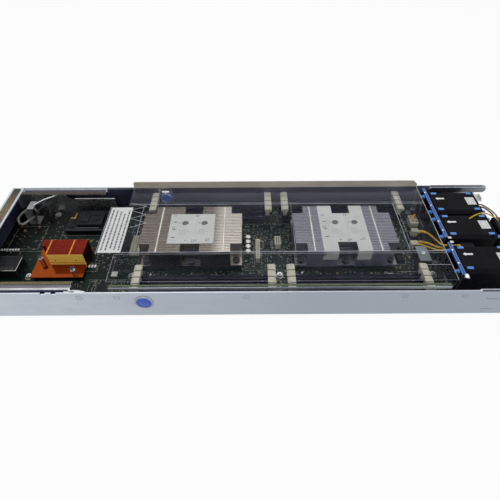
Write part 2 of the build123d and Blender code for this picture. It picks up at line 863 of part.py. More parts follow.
def tab_start(end):
    if end < 0:
        return fan_x + fan_flange / 2
    return fan_x + fan_length - fan_flange / 2 - rubber_tab_length


def make_fan_housing(y):
    half = fan_size / 2
    body = span(fan_x, fan_x + fan_length, y - half, y + half, fan_z - half, fan_z + half)
    body = fillet(body.edges().filter_by(Axis.X), fan_corner_radius)
    waist_x = fan_x + fan_flange
    waist_end = fan_x + fan_length - fan_flange
    for side_y in (-1, 1):
        for side_z in (-1, 1):
            corner = (y + side_y * half, fan_z + side_z * half)
            wedge = [(corner[0] + side_y, corner[1] + side_z),
                     (corner[0] - side_y * fan_waist_chamfer, corner[1] + side_z),
                     (corner[0] + side_y, corner[1] - side_z * fan_waist_chamfer)]
            body -= end_prism(wedge, waist_x, waist_end)
    body -= along_x(fan_bore_radius, fan_length + 2 * sheet, fan_x - sheet, y, fan_z)
    middle_x = fan_x + fan_length / 2
    seat_x = middle_x - stator_thickness / 2
    body += along_x(fan_hub_radius, stator_thickness, seat_x, y, fan_z)
    for index in range(stator_arm_count):
        turn = (index + 0.5) * 360 / stator_arm_count
        reach = (fan_hub_radius + fan_bore_radius) / 2
        arm = Pos(0, 0, reach) * Box(stator_thickness, stator_arm_width, fan_bore_radius - fan_hub_radius + 2 * sheet)
        body += Pos(middle_x, y, fan_z) * Rot(turn, 0, 0) * arm
    body -= along_x(shaft_radius + slide_gap, 2 * stator_thickness, seat_x - stator_thickness / 2, y, fan_z)
    for pin_y, pin_z in rubber_places(y):
        for end in (-1, 1):
            hole_x = fan_x - sheet if end < 0 else waist_end - rubber_tab_length
            hole_length = fan_flange + rubber_tab_length + sheet
            body -= along_x(rubber_radius + press_gap, hole_length, hole_x, pin_y, pin_z)
            start = tab_start(end) - press_gap
            half_tab = rubber_tab_width / 2 + press_gap
            body -= span(start, start + rubber_tab_length + 2 * press_gap, pin_y - half_tab,
                         pin_y + half_tab, pin_z, fan_z + fan_size)
    return body


# Rotor: a hub cup with twisted blades on its own shaft
def make_blade(x, length, radius_to):
    root = Plane(origin=(x + length / 2, 0, fan_hub_radius - sheet), z_dir=(0, 0, 1))
    tip = Plane(origin=(x + length / 2, 0, radius_to), z_dir=(0, 0, 1))
    root_face = root * Rot(0, 0, blade_root_angle) * Rectangle(fan_blade_chord * blade_root_share, fan_blade_thickness)
    tip_face = tip * Rot(0, 0, blade_tip_angle) * Rectangle(fan_blade_chord, fan_blade_thickness)
    return loft([root_face, tip_face], ruled=True)


def make_rotor(y, end):
    middle_x = fan_x + fan_length / 2
    hub_length = fan_length / 2 - stator_thickness / 2 - rotor_end_gap - seat_gap
    hub_x = fan_x + rotor_end_gap if end < 0 else middle_x + stator_thickness / 2 + seat_gap
    hub = Pos(hub_x + hub_length / 2, 0, 0) * Rot(0, 90, 0) * Cylinder(fan_hub_radius, hub_length)
    rotor = hub
    tip_radius = fan_bore_radius - fan_tip_gap
    for index in range(fan_blade_count):
        blade = make_blade(hub_x, hub_length, tip_radius)
        if end > 0:
            blade = mirror(blade, Plane.XZ)
        rotor += Rot(index * 360 / fan_blade_count, 0, 0) * blade
    rim_cut_outer = Pos(hub_x + hub_length / 2, 0, 0) * Rot(0, 90, 0) * Cylinder(tip_radius, hub_length)
    rotor = rotor & rim_cut_outer
    shaft_length = (stator_thickness + seat_gap) / 2
    shaft_x = hub_x + hub_length if end < 0 else hub_x - shaft_length
    shaft = Pos(shaft_x + shaft_length / 2, 0, 0) * Rot(0, 90, 0) * Cylinder(shaft_radius, shaft_length)
    rotor += shaft
    return Pos(0, y, fan_z) * rotor


# Rubber mounts: a pin with a retaining head, and a tab that shows on top of the fan
def make_rubber_mount(pin_y, pin_z, end):
    outward = -1 if end < 0 else 1
    inner_x = tab_start(end) + (rubber_tab_length if end < 0 else 0)
    face_x = cage_x if end < 0 else fan_x + fan_length
    outer_x = face_x + outward * rubber_tail
    pin = along_x(rubber_radius, abs(outer_x - inner_x), min(outer_x, inner_x), pin_y, pin_z)
    head_x = face_x + outward * seat_gap
    head_start = min(head_x, head_x + outward * rubber_head_length)
    head = along_x(rubber_head_radius, rubber_head_length, head_start, pin_y, pin_z)
    start = tab_start(end)
    tab = span(start, start + rubber_tab_length, pin_y - rubber_tab_width / 2, pin_y + rubber_tab_width / 2,
               pin_z, fan_z + fan_size / 2 + rubber_tab_rise)
    return pin + head + tab


def make_rubber_mounts(y):
    return [make_rubber_mount(pin_y, pin_z, end) for pin_y, pin_z in rubber_places(y) for end in (-1, 1)]


# Fan cage: a foot and a plate with a round window in front of each fan
def make_fan_cage(centres, y_from, y_to):
    plate = span(cage_x, cage_x + sheet, y_from, y_to, floor_z, cage_plate_top)
    foot = span(cage_x - cage_foot_length, cage_x, y_from, y_to, floor_z, floor_z + sheet)
    cage = plate + foot
    for y in centres:
        cage -= along_x(fan_bore_radius, 3 * sheet, cage_x - sheet, y, fan_z)
        for pin_y, pin_z in rubber_places(y):
            cage -= along_x(rubber_radius + press_gap, 3 * sheet, cage_x - sheet, pin_y, pin_z)
    return cage


def make_strip(y_from, y_to):
    middle = cage_x + sheet / 2
    strip = span(middle - strip_width / 2, middle + strip_width / 2, y_from, y_to,
                 cage_plate_top - strip_height + sheet, cage_plate_top + sheet)
    groove = span(cage_x - press_gap, cage_x + sheet + press_gap, y_from - sheet, y_to + sheet,
                  0, cage_plate_top)
    return strip - groove


# Release buttons: a plunger in a ring, pushed out by a leaf spring
def make_button_ring(wall_y, outward):
    collar_y = wall_y if outward > 0 else wall_y - ring_rise
    collar = along_y(ring_radius, ring_rise, button_x, collar_y, button_z)
    sleeve_length = sheet + ring_depth
    sleeve_y = wall_y - sleeve_length if outward > 0 else wall_y
    sleeve = along_y(ring_sleeve_radius, sleeve_length, button_x, sleeve_y, button_z)
    ring = collar + sleeve
    ring = chamfer(ring.edges().filter_by(GeomType.CIRCLE).sort_by(Axis.Y)[-1 if outward > 0 else 0], ring_rise / 2)
    bore_y = wall_y - 2 * sleeve_length
    return ring - along_y(button_radius + slide_gap, 4 * sleeve_length, button_x, bore_y, button_z)


def make_button(wall_y, outward):
    face_y = wall_y + outward * (ring_rise - button_face_setback)
    back_y = wall_y - outward * (sheet + ring_depth)
    length = abs(face_y - back_y)
    plunger = along_y(button_radius, length, button_x, min(face_y, back_y), button_z)
    face_edges = plunger.edges().filter_by(GeomType.CIRCLE).sort_by(Axis.Y)
    plunger = fillet(face_edges[-1 if outward > 0 else 0], button_face_setback)
    flange_from = back_y - outward * button_flange_thickness
    flange = along_y(button_flange_radius, button_flange_thickness, button_x, min(back_y, flange_from), button_z)
    return plunger + flange


def make_button_spring(wall_y, outward):
    inner_y = wall_y - outward * sheet
    back_y = wall_y - outward * (sheet + ring_depth + button_flange_thickness)
    leaf_bottom = button_z - button_radius / 2
    knee_z = leaf_foot_top - leaf_foot_height
    bend_z = button_z + ring_sleeve_radius + seat_gap
    step = -outward * leaf_thickness
    points = [
        (inner_y, leaf_foot_top), (inner_y, knee_z), (back_y, bend_z), (back_y, leaf_bottom),
        (back_y + step, leaf_bottom), (back_y + step, bend_z - leaf_thickness / 2),
        (inner_y + step, knee_z - leaf_thickness / 2), (inner_y + step, leaf_foot_top),
    ]
    return end_prism(points, button_x - leaf_width / 2, button_x + leaf_width / 2)


# Wires from the board's connectors through the cable gap to the block between the fans
cable_y = (middle_fan_y + near_fan_y) / 2
cable_block_x = fan_x + fan_length / 4
far_plug = (cage_x - far_plug_from_cage, cooler_y + far_plug_y_offset)
near_plug = (cage_x - near_plug_from_cage, cooler_y - near_plug_y_offset)


def wire_radii(points):
    radii = []
    for before, corner, after in zip(points, points[1:], points[2:]):
        run_in = Vector(*corner) - Vector(*before)
        run_out = Vector(*after) - Vector(*corner)
        half_turn = math.radians(run_in.get_angle(run_out)) / 2
        radii.append(wire_arc_share * min(run_in.length, run_out.length) / math.tan(half_turn))
    return radii


def make_wire(name, points):
    radii = wire_radii(points)
    path = FilletPolyline(*points, radius=radii)
    section = Plane(origin=path @ 0, z_dir=path % 0) * Circle(wire_radius)
    wire = sweep(section, path=path)
    expected = math.pi * wire_radius ** 2 * path.length
    print(name, "radii", [round(radius, 1) for radius in radii], "volume ratio",
          round(wire.volume / expected, 4))
    return wire


def far_route(side, lead, drift, from_cage, across):
    start_x = far_plug[0] + far_plug_length
    plug_y = far_plug[1]
    exit_z = board_z + plug_exit_height
    rise = [exit_z + height for height in far_wire_rise]
    return [
        (start_x, plug_y + side * wire_pitch / 2, exit_z),
        (start_x + lead, plug_y - drift[0], rise[0]),
        (cage_x - from_cage[0], plug_y - drift[1], rise[1]),
        (cage_x - from_cage[1], cable_y + across[0], rise[2]),
        (cage_x - from_cage[2], cable_y + across[1], rise[3]),
        (cable_block_x, cable_y + across[2], rise[4]),
    ]


def near_route(side, lead, drift, from_cage, across):
    start_x = near_plug[0] + near_plug_length
    plug_y = near_plug[1]
    exit_z = board_z + plug_exit_height
    rise = [exit_z + height for height in near_wire_rise]
    return [
        (start_x, plug_y + side * wire_pitch / 2, exit_z),
        (start_x + lead, plug_y + drift, rise[0]),
        (cage_x - from_cage[0], cable_y + across[0], rise[1]),
        (cage_x - from_cage[1], cable_y + across[1], rise[2]),
        (cable_block_x, cable_y + across[2], rise[3]),
    ]


def wire_routes():
    # Each pair leaves its plug, climbs towards the near side and turns through the cable gap.
    yellow = [
        far_route(1, far_wire_lead, far_wire_drift, far_wire_from_cage, far_wire_across),
        near_route(1, near_wire_lead, near_wire_drift, near_wire_from_cage, near_wire_across),
    ]
    black = [
        far_route(-1, far_inner_lead, far_inner_drift, far_inner_from_cage, far_inner_across),
        near_route(-1, near_inner_lead, -near_inner_drift, near_inner_from_cage, near_inner_across),
    ]
    return {"yellow": yellow, "black": black}


def make_plug(place, length, width):
    x, y = place
    plug = span(x, x + length, y - width / 2, y + width / 2, board_z, board_z + plug_height)
    key = span(x + length / 4, x + length - length / 4, y - width / 2 - sheet, y - width / 2,
               board_z, board_z + plug_height / 2)
    return plug + key


def make_cable_block():
    return span(cable_block_x, cable_block_x + cable_block_length, cable_y - cable_block_width / 2,
                cable_y + cable_block_width / 2, floor_z, cable_block_lift + cable_block_height)


# Loose parts on the board
middle_x = (rear_cooler_x + front_cooler_x) / 2


def plan_block(size, x, y, height):
    return span(x - size[0] / 2, x + size[0] / 2, y - size[1] / 2, y + size[1] / 2, board_z, board_z + height)


def make_cans():
    cans = []
    for index in range(can_count):
        x = rear_cooler_x + cooler_length / 2 + can_radius + can_pitch / 2
        y = cooler_y + (index - can_count / 2) * can_pitch
        can = upright(can_radius, can_height, x, y, board_z)
        cans.append(fillet(can.edges().filter_by(GeomType.CIRCLE).sort_by(Axis.Z)[-1], can_radius / 6))
    return cans


def make_chokes():
    chokes = []
    for index in range(choke_count):
        y = cooler_y + (index - (choke_count - 1) / 2) * choke_pitch
        x = front_cooler_x + cooler_length / 2 + choke_size
        choke = plan_block((choke_size, choke_size), x, y, choke_height)
        chokes.append(chamfer(choke.edges().group_by(Axis.Z)[-1], choke_size / 12))
    return chokes


def make_chips():
    return [
        plan_block(large_chip, rear_x + large_chip_from_rear + large_chip[0] / 2, large_chip_y, chip_height),
        plan_block(small_chip, rear_x + small_chip_from_rear + small_chip[0] / 2, small_chip_y, chip_height / 2),
        plan_block((chipset_chip_size, chipset_chip_size), chipset_x, chipset_y, chipset_chip_height),
        plan_block(middle_chip, middle_x, cooler_y + sheet, chip_height),
        plan_block(power_module, cage_x - power_module_from_cage, cooler_y - power_module_y_offset,
                   power_module_height),
    ]


def make_board_connectors():
    header_x = rear_x + header_from_rear + header_connector[0] / 2
    return [
        plan_block(strip_connector, middle_x + strip_connector_offset, cooler_y - box_connector_offset, plug_height),
        plan_block(box_connector, middle_x + box_connector_offset, cooler_y + sheet, plug_height),
        plan_block(header_connector, header_x, near_bank_y + header_connector[1] / 2, plug_height),
    ]


def build():
    os.makedirs("parts", exist_ok=True)
    save("tray", make_tray())
    save("rear_rim", *group(make_rear_rim(), make_far_rim()))
    save("rear_gasket", *make_gasket())
    save("far_bracket", make_far_bracket())
    save("corner_bracket", make_corner_bracket())
    save("mainboard", make_mainboard())
    save("standoffs", *make_standoffs())
    save("board_screws", *make_board_screws())
    save("processor_sockets", *make_processor_socket(rear_cooler_x), *make_processor_socket(front_cooler_x))
    save("processors", make_processor(rear_cooler_x), make_processor(front_cooler_x))
    save("cooler_screws", *make_cooler_screws(rear_cooler_x), *make_cooler_screws(front_cooler_x))
    banks = {
        "rear": (rear_cooler_x, rear_bank_offset),
        "front": (front_cooler_x, front_bank_offset),
    }
    for end_name, (cooler_x, offset) in banks.items():
        save(f"{end_name}_cooler_plate", make_cooler_plate(cooler_x))
        save(f"{end_name}_cooler_fins", make_cooler_fins(cooler_x))
        bank_x = bank_centre(cooler_x, offset)
        for side_name, first_y in (("near", near_bank_y), ("far", far_bank_y)):
            save(f"{end_name}_{side_name}_memory_sockets", *make_memory_bank(bank_x, first_y))
            save(f"{end_name}_{side_name}_rear_latches", *make_latch_group(bank_x, first_y, -1))
            save(f"{end_name}_{side_name}_front_latches", *make_latch_group(bank_x, first_y, 1))
    save("chipset_cooler_plate", make_chipset_plate())
    save("chipset_cooler_fins", make_chipset_fins())
    save("chipset_push_pins", *make_chipset_pins())
    save("io_cage", make_io_cage())
    save("low_card", make_low_card())
    save("air_shroud", make_shroud())
    save("shroud_rivets", *make_shroud_rivets())
    fans = {"near": near_fan_y, "middle": middle_fan_y, "far": far_fan_y}
    mounts = []
    for name, y in fans.items():
        save(f"{name}_fan_housing", make_fan_housing(y))
        save(f"{name}_fan_inlet_rotor", make_rotor(y, 1))
        save(f"{name}_fan_outlet_rotor", make_rotor(y, -1))
        mounts.extend(make_rubber_mounts(y))
    save("fan_rubber_mounts", *mounts)
    near_cage = (near_fan_y - fan_size / 2 - cage_side_margin / 2 + seat_gap,
                 near_fan_y + fan_size / 2 + cable_gap / 3)
    far_cage = (middle_fan_y - fan_size / 2 + seat_gap, far_fan_y + fan_size / 2 + cage_side_margin)
    save("near_fan_cage", make_fan_cage([near_fan_y], *near_cage))
    save("far_fan_cage", make_fan_cage([middle_fan_y, far_fan_y], *far_cage))
    save("cage_strips", make_strip(*near_cage), make_strip(*far_cage))
    save("near_release_button", make_button(near_y, -1))
    save("far_release_button", make_button(far_y, 1))
    save("button_rings", make_button_ring(near_y, -1), make_button_ring(far_y, 1))
    save("near_button_spring", make_button_spring(near_y, -1))
    save("far_button_spring", make_button_spring(far_y, 1))
    routes = wire_routes()
    for colour, paths in routes.items():
        save(f"{colour}_wires", *[make_wire(f"{colour} wire", points) for points in paths])
    save("wire_plugs", make_plug(far_plug, far_plug_length, far_plug_width),
         make_plug(near_plug, near_plug_length, near_plug_width))
    save("cable_block", make_cable_block())
    save("capacitors", *make_cans())
    save("chokes", *make_chokes())
    save("chips", *make_chips())
    save("board_connectors", *make_board_connectors())


build()
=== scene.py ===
import bpy
import bmesh
import math
import random
from mathutils import Matrix, Vector


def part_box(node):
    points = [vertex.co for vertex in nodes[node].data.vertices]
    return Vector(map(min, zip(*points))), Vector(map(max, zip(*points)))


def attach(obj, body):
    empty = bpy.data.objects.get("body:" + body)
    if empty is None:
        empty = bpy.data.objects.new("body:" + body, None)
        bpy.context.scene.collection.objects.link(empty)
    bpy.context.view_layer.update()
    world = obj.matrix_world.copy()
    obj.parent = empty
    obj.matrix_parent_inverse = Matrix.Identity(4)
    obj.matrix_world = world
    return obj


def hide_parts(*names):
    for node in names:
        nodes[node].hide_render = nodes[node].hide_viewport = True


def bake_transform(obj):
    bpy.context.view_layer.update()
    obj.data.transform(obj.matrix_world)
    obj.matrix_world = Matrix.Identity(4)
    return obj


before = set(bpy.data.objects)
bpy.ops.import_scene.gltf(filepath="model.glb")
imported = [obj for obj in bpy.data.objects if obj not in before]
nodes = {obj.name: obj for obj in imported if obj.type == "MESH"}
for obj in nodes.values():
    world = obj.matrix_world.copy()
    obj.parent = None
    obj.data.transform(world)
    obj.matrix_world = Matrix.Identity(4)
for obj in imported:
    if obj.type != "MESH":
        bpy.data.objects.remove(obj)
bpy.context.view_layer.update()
mm = 0.001


def addObject(name, data):
    item = bpy.data.objects.new(name, data)
    bpy.context.scene.collection.objects.link(item)
    return item


def addNode(tree, kind, values=(), **settings):
    # values gives what stands in an input, by the input's name or number
    node = tree.nodes.new(kind)
    for key, value in settings.items():
        setattr(node, key, value)
    for key, value in dict(values).items():
        node.inputs[key].default_value = value
    return node


def addMath(tree, operation, values=(), **settings):
    return addNode(tree, "ShaderNodeMath", values, operation=operation, **settings)


def joinAll(tree, *rows):
    for source, output, target, entry in rows:
        tree.links.new(source.outputs[output], target.inputs[entry])


def newMaterial(name, values):
    material = bpy.data.materials.new(name)
    material.use_nodes = True
    shader = material.node_tree.nodes["Principled BSDF"]
    for key, value in values.items():
        shader.inputs[key].default_value = value
    return material, material.node_tree, shader


# camera, floor and light
cameraSet = {
    "place": (-0.33, -343.45, 371.08),  # millimetres
    "pitch": 46.35,
    "yaw": -0.02,
    "roll": -0.359,
    "focalPixels": 408.8,
    "framePixels": 500,
    "sensor": 36.0,
}


def makeCamera(s):
    data = bpy.data.cameras.new("photoCamera")
    data.sensor_width = s["sensor"]
    data.lens = s["focalPixels"] * s["sensor"] / s["framePixels"]
    data.clip_start = 0.01
    data.clip_end = 20
    pitch, yaw, roll = (math.radians(s[k]) for k in ("pitch", "yaw", "roll"))
    forward = Vector((math.sin(yaw) * math.cos(pitch), math.cos(yaw) * math.cos(pitch), -math.sin(pitch)))
    level = Vector((math.cos(yaw), -math.sin(yaw), 0))
    rise = level.cross(forward)
    right = math.cos(roll) * level + math.sin(roll) * rise
    up = math.cos(roll) * rise - math.sin(roll) * level
    turn = Matrix((right, up, -forward)).transposed().to_4x4()
    camera = addObject("photoCamera", data)
    camera.matrix_world = Matrix.Translation(Vector(s["place"]) * mm) @ turn
    bpy.context.scene.camera = camera


lightSet = {
    "skyLevel": 0.42,
    "skyColour": (0.93, 0.96, 1.0),
    "lamps": [  # name, place, aim, size, power
        ("topLamp", (-0.25, 0.35, 1.5), (0, 0, 0), 1.3, 9.0),
        ("sideLamp", (1.3, -0.5, 0.9), (0, 0, 0), 0.8, 3.5),
        ("frontLamp", (-0.4, -1.4, 0.8), (0, 0, 0), 0.9, 3.0),
    ],
}


def seenRays(tree):
    # 1 for what the camera, a shiny or a clear surface sees
    path = addNode(tree, "ShaderNodeLightPath")
    first, second = (addMath(tree, "MAXIMUM") for k in range(2))
    joinAll(tree, (path, "Is Camera Ray", first, 0), (path, "Is Glossy Ray", first, 1), (first, 0, second, 0),
            (path, "Is Transmission Ray", second, 1))
    return second


def makeLight(s):
    world = bpy.data.worlds.new("paleRoom")
    world.use_nodes = True
    tree = world.node_tree
    sky = tree.nodes["Background"]
    sky.inputs["Color"].default_value = (*s["skyColour"], 1)
    sky.inputs["Strength"].default_value = s["skyLevel"]
    white = addNode(tree, "ShaderNodeBackground", {"Color": (1, 1, 1, 1), "Strength": 1})
    mix = addNode(tree, "ShaderNodeMixShader")
    joinAll(tree, (seenRays(tree), 0, mix, 0), (sky, 0, mix, 1), (white, 0, mix, 2),
            (mix, 0, tree.nodes["World Output"], "Surface"))
    bpy.context.scene.world = world
    for name, place, aim, size, power in s["lamps"]:
        data = bpy.data.lights.new(name, "AREA")
        data.shape = "DISK"
        data.size = size
        data.energy = power
        lamp = addObject(name, data)
        lamp.location = place
        lamp.rotation_euler = (Vector(aim) - Vector(place)).to_track_quat("-Z", "Y").to_euler()


floorSet = {"half": 3.0, "below": 0.0002, "colour": (0.92, 0.92, 0.92), "roughness": 0.9, "shine": 0.1,
            "whitening": 0.93}


def makeFloor(s):
    bm = bmesh.new()
    corners = [(-1, -1), (1, -1), (1, 1), (-1, 1)]
    bm.faces.new([bm.verts.new((x * s["half"], y * s["half"], -s["below"])) for x, y in corners])
    mesh = bpy.data.meshes.new("floor")
    bm.to_mesh(mesh)
    bm.free()
    material, tree, shader = newMaterial("paleFloor", {"Base Color": (*s["colour"], 1), "Roughness": s["roughness"],
                                                       "Specular IOR Level": s["shine"]})
    glow = addNode(tree, "ShaderNodeEmission", {"Color": (1, 1, 1, 1)})
    share = addMath(tree, "MULTIPLY", {1: s["whitening"]})
    mix = addNode(tree, "ShaderNodeMixShader")
    joinAll(tree, (seenRays(tree), 0, share, 0), (share, 0, mix, 0), (shader, 0, mix, 1), (glow, 0, mix, 2),
            (mix, 0, tree.nodes["Material Output"], "Surface"))
    mesh.materials.append(material)
    addObject("floor", mesh)


makeCamera(cameraSet)
makeLight(lightSet)
makeFloor(floorSet)
bpy.context.scene.view_settings.view_transform = "Standard"
print("camera, floor and light are set")


# shader groups that the finishes share
def newGroup(name, inputs, outputs):
    # an input is a value, a vector of three or a colour of four, as its start is
    tree = bpy.data.node_groups.new(name, "ShaderNodeTree")
    for label, start in inputs.items():
        kind = {3: "Vector", 4: "Color"}[len(start)] if isinstance(start, tuple) else "Float"
        tree.interface.new_socket(label, in_out="INPUT", socket_type="NodeSocket" + kind).default_value = start
    for label, kind in outputs.items():
        tree.interface.new_socket(label, in_out="OUTPUT", socket_type="NodeSocket" + kind)
    return tree, addNode(tree, "NodeGroupInput"), addNode(tree, "NodeGroupOutput")


def mixColours(tree, factor, a, b):
    node = addNode(tree, "ShaderNodeMix", data_type="RGBA")
    tree.links.new(factor, node.inputs[0])
    for socket, value in ((node.inputs[6], a), (node.inputs[7], b)):
        if isinstance(value, bpy.types.NodeSocket):
            tree.links.new(value, socket)
        else:
            socket.default_value = value
    return node.outputs[2]


def makeGrainGroup():
    # cloudy variation of colour and roughness, stretched along any axis
    tree, given, made = newGroup(
        "surfaceGrain",
        {"Scale": 60.0, "Stretch": (1, 1, 1), "Dark": (0, 0, 0, 1), "Light": (1, 1, 1, 1), "Contrast": 2.0,
         "Rough Low": 0.3, "Rough High": 0.5},
        {"Color": "Color", "Roughness": "Float", "Height": "Float"},
    )
    place = addNode(tree, "ShaderNodeTexCoord")
    move = addNode(tree, "ShaderNodeMapping")
    cloud = addNode(tree, "ShaderNodeTexNoise", {"Detail": 6})
    fine = addNode(tree, "ShaderNodeTexNoise", {"Detail": 3})
    finer = addMath(tree, "MULTIPLY", {1: 6})
    spread = addMath(tree, "SUBTRACT", {1: 0.5})
    strong = addMath(tree, "MULTIPLY_ADD", {2: 0.5}, use_clamp=True)
    rough = addNode(tree, "ShaderNodeMapRange", {"From Min": 0.3, "From Max": 0.7})
    joinAll(tree, (place, "Object", move, "Vector"), (given, "Stretch", move, "Scale"), (move, 0, cloud, "Vector"),
            (move, 0, fine, "Vector"), (given, "Scale", cloud, "Scale"), (given, "Scale", finer, 0),
            (finer, 0, fine, "Scale"), (cloud, "Fac", spread, 0), (spread, 0, strong, 0),
            (given, "Contrast", strong, 1), (fine, "Fac", rough, "Value"), (given, "Rough Low", rough, "To Min"),
            (given, "Rough High", rough, "To Max"), (rough, 0, made, "Roughness"), (fine, "Fac", made, "Height"))
    colour = mixColours(tree, strong.outputs[0], given.outputs["Dark"], given.outputs["Light"])
    tree.links.new(colour, made.inputs["Color"])
    return tree


def makeEdgeGroup():
    # 1 along sharp edges, where a finish rubs off and where a painted highlight lies along the edge
    tree, given, made = newGroup("edgeWear", {"Radius": 0.0006, "Gain": 6.0}, {"Mask": "Float"})
    soft = addNode(tree, "ShaderNodeBevel", samples=4)
    here = addNode(tree, "ShaderNodeNewGeometry")
    dot = addNode(tree, "ShaderNodeVectorMath", operation="DOT_PRODUCT")
    bent = addMath(tree, "SUBTRACT", {0: 1})
    gain = addMath(tree, "MULTIPLY", use_clamp=True)
    joinAll(tree, (given, "Radius", soft, "Radius"), (soft, 0, dot, 0), (here, "Normal", dot, 1),
            (dot, "Value", bent, 1), (bent, 0, gain, 0), (given, "Gain", gain, 1), (gain, 0, made, "Mask"))
    return tree


def makeSpotGroup():
    # small round spots, such as pads, vias and dust
    tree, given, made = newGroup("fineSpots", {"Scale": 300.0, "Size": 0.2, "Share": 0.3}, {"Mask": "Float"})
    place = addNode(tree, "ShaderNodeTexCoord")
    cells = addNode(tree, "ShaderNodeTexVoronoi")
    near = addMath(tree, "LESS_THAN")
    split = addNode(tree, "ShaderNodeSeparateColor")
    chosen = addMath(tree, "LESS_THAN")
    both = addMath(tree, "MULTIPLY")
    joinAll(tree, (place, "Object", cells, "Vector"), (given, "Scale", cells, "Scale"), (cells, "Distance", near, 0),
            (given, "Size", near, 1), (cells, "Color", split, 0), (split, 0, chosen, 0), (given, "Share", chosen, 1),
            (near, 0, both, 0), (chosen, 0, both, 1), (both, 0, made, "Mask"))
    return tree


def makeShadeGroup():
    # 0 to 1 along any direction, between two distances from the origin
    tree, given, made = newGroup("shadeAlong", {"Direction": (1, 0, 0), "Start": 0.0, "Stop": 1.0}, {"Mask": "Float"})
    place = addNode(tree, "ShaderNodeTexCoord")
    along = addNode(tree, "ShaderNodeVectorMath", operation="DOT_PRODUCT")
    share = addNode(tree, "ShaderNodeMapRange", clamp=True)
    joinAll(tree, (place, "Object", along, 0), (given, "Direction", along, 1), (along, "Value", share, "Value"),
            (given, "Start", share, "From Min"), (given, "Stop", share, "From Max"), (share, 0, made, "Mask"))
    return tree


def makeStripeGroup():
    # even stripes across any direction, such as the free edges of a row of fins
    tree, given, made = newGroup("evenStripes", {"Direction": (0, 1, 0), "Start": 0.0, "Pitch": 0.0026, "Share": 0.2},
                                 {"Mask": "Float"})
    place = addNode(tree, "ShaderNodeTexCoord")
    along = addNode(tree, "ShaderNodeVectorMath", operation="DOT_PRODUCT")
    moved, steps, part, inside = (addMath(tree, kind)
                                  for kind in ("SUBTRACT", "DIVIDE", "FRACT", "LESS_THAN"))
    joinAll(tree, (place, "Object", along, 0), (given, "Direction", along, 1), (along, "Value", moved, 0),
            (given, "Start", moved, 1), (moved, 0, steps, 0), (given, "Pitch", steps, 1), (steps, 0, part, 0),
            (part, 0, inside, 0), (given, "Share", inside, 1), (inside, 0, made, "Mask"))
    return tree


grainGroup, edgeGroup, spotGroup = makeGrainGroup(), makeEdgeGroup(), makeSpotGroup()
shadeGroup, stripeGroup = makeShadeGroup(), makeStripeGroup()
finishes = {}


def useGroup(tree, group, labels, values):
    return addNode(tree, "ShaderNodeGroup", dict(zip(labels, values)), node_tree=group)


def tint(red, green, blue):
    # from 0 to 255, as a paint chart gives a colour, to the linear value that a shader takes
    shares = [v / 255 for v in (red, green, blue)]
    return (*(v / 12.92 if v <= 0.04045 else ((v + 0.055) / 1.055) ** 2.4 for v in shares), 1)


grainInputs = ("Scale", "Stretch", "Dark", "Light", "Contrast", "Rough Low", "Rough High")


def makeFinish(name, dark, light, rough=(0.4, 0.6), metallic=0.0, scale=60.0, stretch=(1, 1, 1), contrast=2.0,
               bump=0.0, edge=None, edgeRadius=0.0006, edgeGain=6.0, spots=(), stripes=(), shades=(), shine=0.5):
    # each row of spots, stripes and shades ends with its colour
    material, tree, shader = newMaterial(name, {"Metallic": metallic, "Specular IOR Level": shine})
    grain = useGroup(tree, grainGroup, grainInputs, (scale, stretch, tint(*dark), tint(*light), contrast, *rough))
    colour = grain.outputs["Color"]
    layers = [(spotGroup, ("Scale", "Size", "Share"), row) for row in spots]
    layers += [(stripeGroup, ("Direction", "Start", "Pitch", "Share"), row) for row in stripes]
    layers += [(shadeGroup, ("Direction", "Start", "Stop"), row) for row in shades]
    # the edge colour is partly wear, partly a painted highlight along sharp edges
    if edge:
        layers.append((edgeGroup, ("Radius", "Gain"), (edgeRadius, edgeGain, edge)))
    for group, labels, row in layers:
        mask = useGroup(tree, group, labels, row[:-1])
        colour = mixColours(tree, mask.outputs[0], colour, tint(*row[-1]))
    tree.links.new(colour, shader.inputs["Base Color"])
    joinAll(tree, (grain, "Roughness", shader, "Roughness"))
    if bump:
        relief = addNode(tree, "ShaderNodeBump", {"Strength": bump, "Distance": 0.0002})
        joinAll(tree, (grain, "Height", relief, "Height"), (relief, 0, shader, "Normal"))
    finishes[name] = material


# finishes of the steel, board and plastics
dull, satin = 0.12, 0.22
darkPart = {"edgeRadius": 0.0003, "edgeGain": 3, "shine": dull}
wire = {"rough": (0.35, 0.5), "scale": 200, "bump": 0.05}
ink = {"rough": (0.5, 0.6), "scale": 200}

# the steel grows darker towards +X, a painted shade
makeFinish("galvanised", (176, 184, 194), (198, 206, 214), rough=(0.34, 0.46), metallic=0.85, stretch=(1, 1, 2.5),
           contrast=1.0, bump=0.04, edge=(226, 232, 238), edgeRadius=0.0005,
           shades=(((1, 0, 0), -0.24, 0.06, (160, 168, 178)),))
makeFinish("plainSteel", (150, 153, 156), (205, 206, 206), rough=(0.22, 0.4), metallic=1.0, scale=90, contrast=1.5,
           bump=0.05, edge=(240, 240, 240))
makeFinish("darkSteel", (30, 29, 32), (58, 56, 60), rough=(0.35, 0.55), metallic=0.7, scale=80, contrast=1.5,
           bump=0.05, edge=(150, 150, 156), edgeRadius=0.0004)
makeFinish("agedSteel", (58, 60, 64), (104, 106, 110), rough=(0.3, 0.5), metallic=0.8, scale=70, contrast=1.6,
           bump=0.05, edge=(140, 142, 146), edgeRadius=0.0004)
makeFinish("bracketSteel", (112, 113, 116), (160, 161, 163), rough=(0.3, 0.5), metallic=0.7, scale=90, contrast=1.8,
           bump=0.08, edge=(214, 216, 220), edgeRadius=0.0004)
makeFinish("cageSteel", (22, 23, 25), (42, 43, 46), rough=(0.35, 0.55), metallic=0.4, scale=70, contrast=1.6,
           bump=0.05, edge=(150, 152, 156), edgeRadius=0.0004, shine=dull)
makeFinish("ringSteel", (118, 122, 130), (160, 164, 172), rough=(0.2, 0.35), metallic=0.7, scale=90,
           edge=(226, 230, 236), edgeRadius=0.0005)
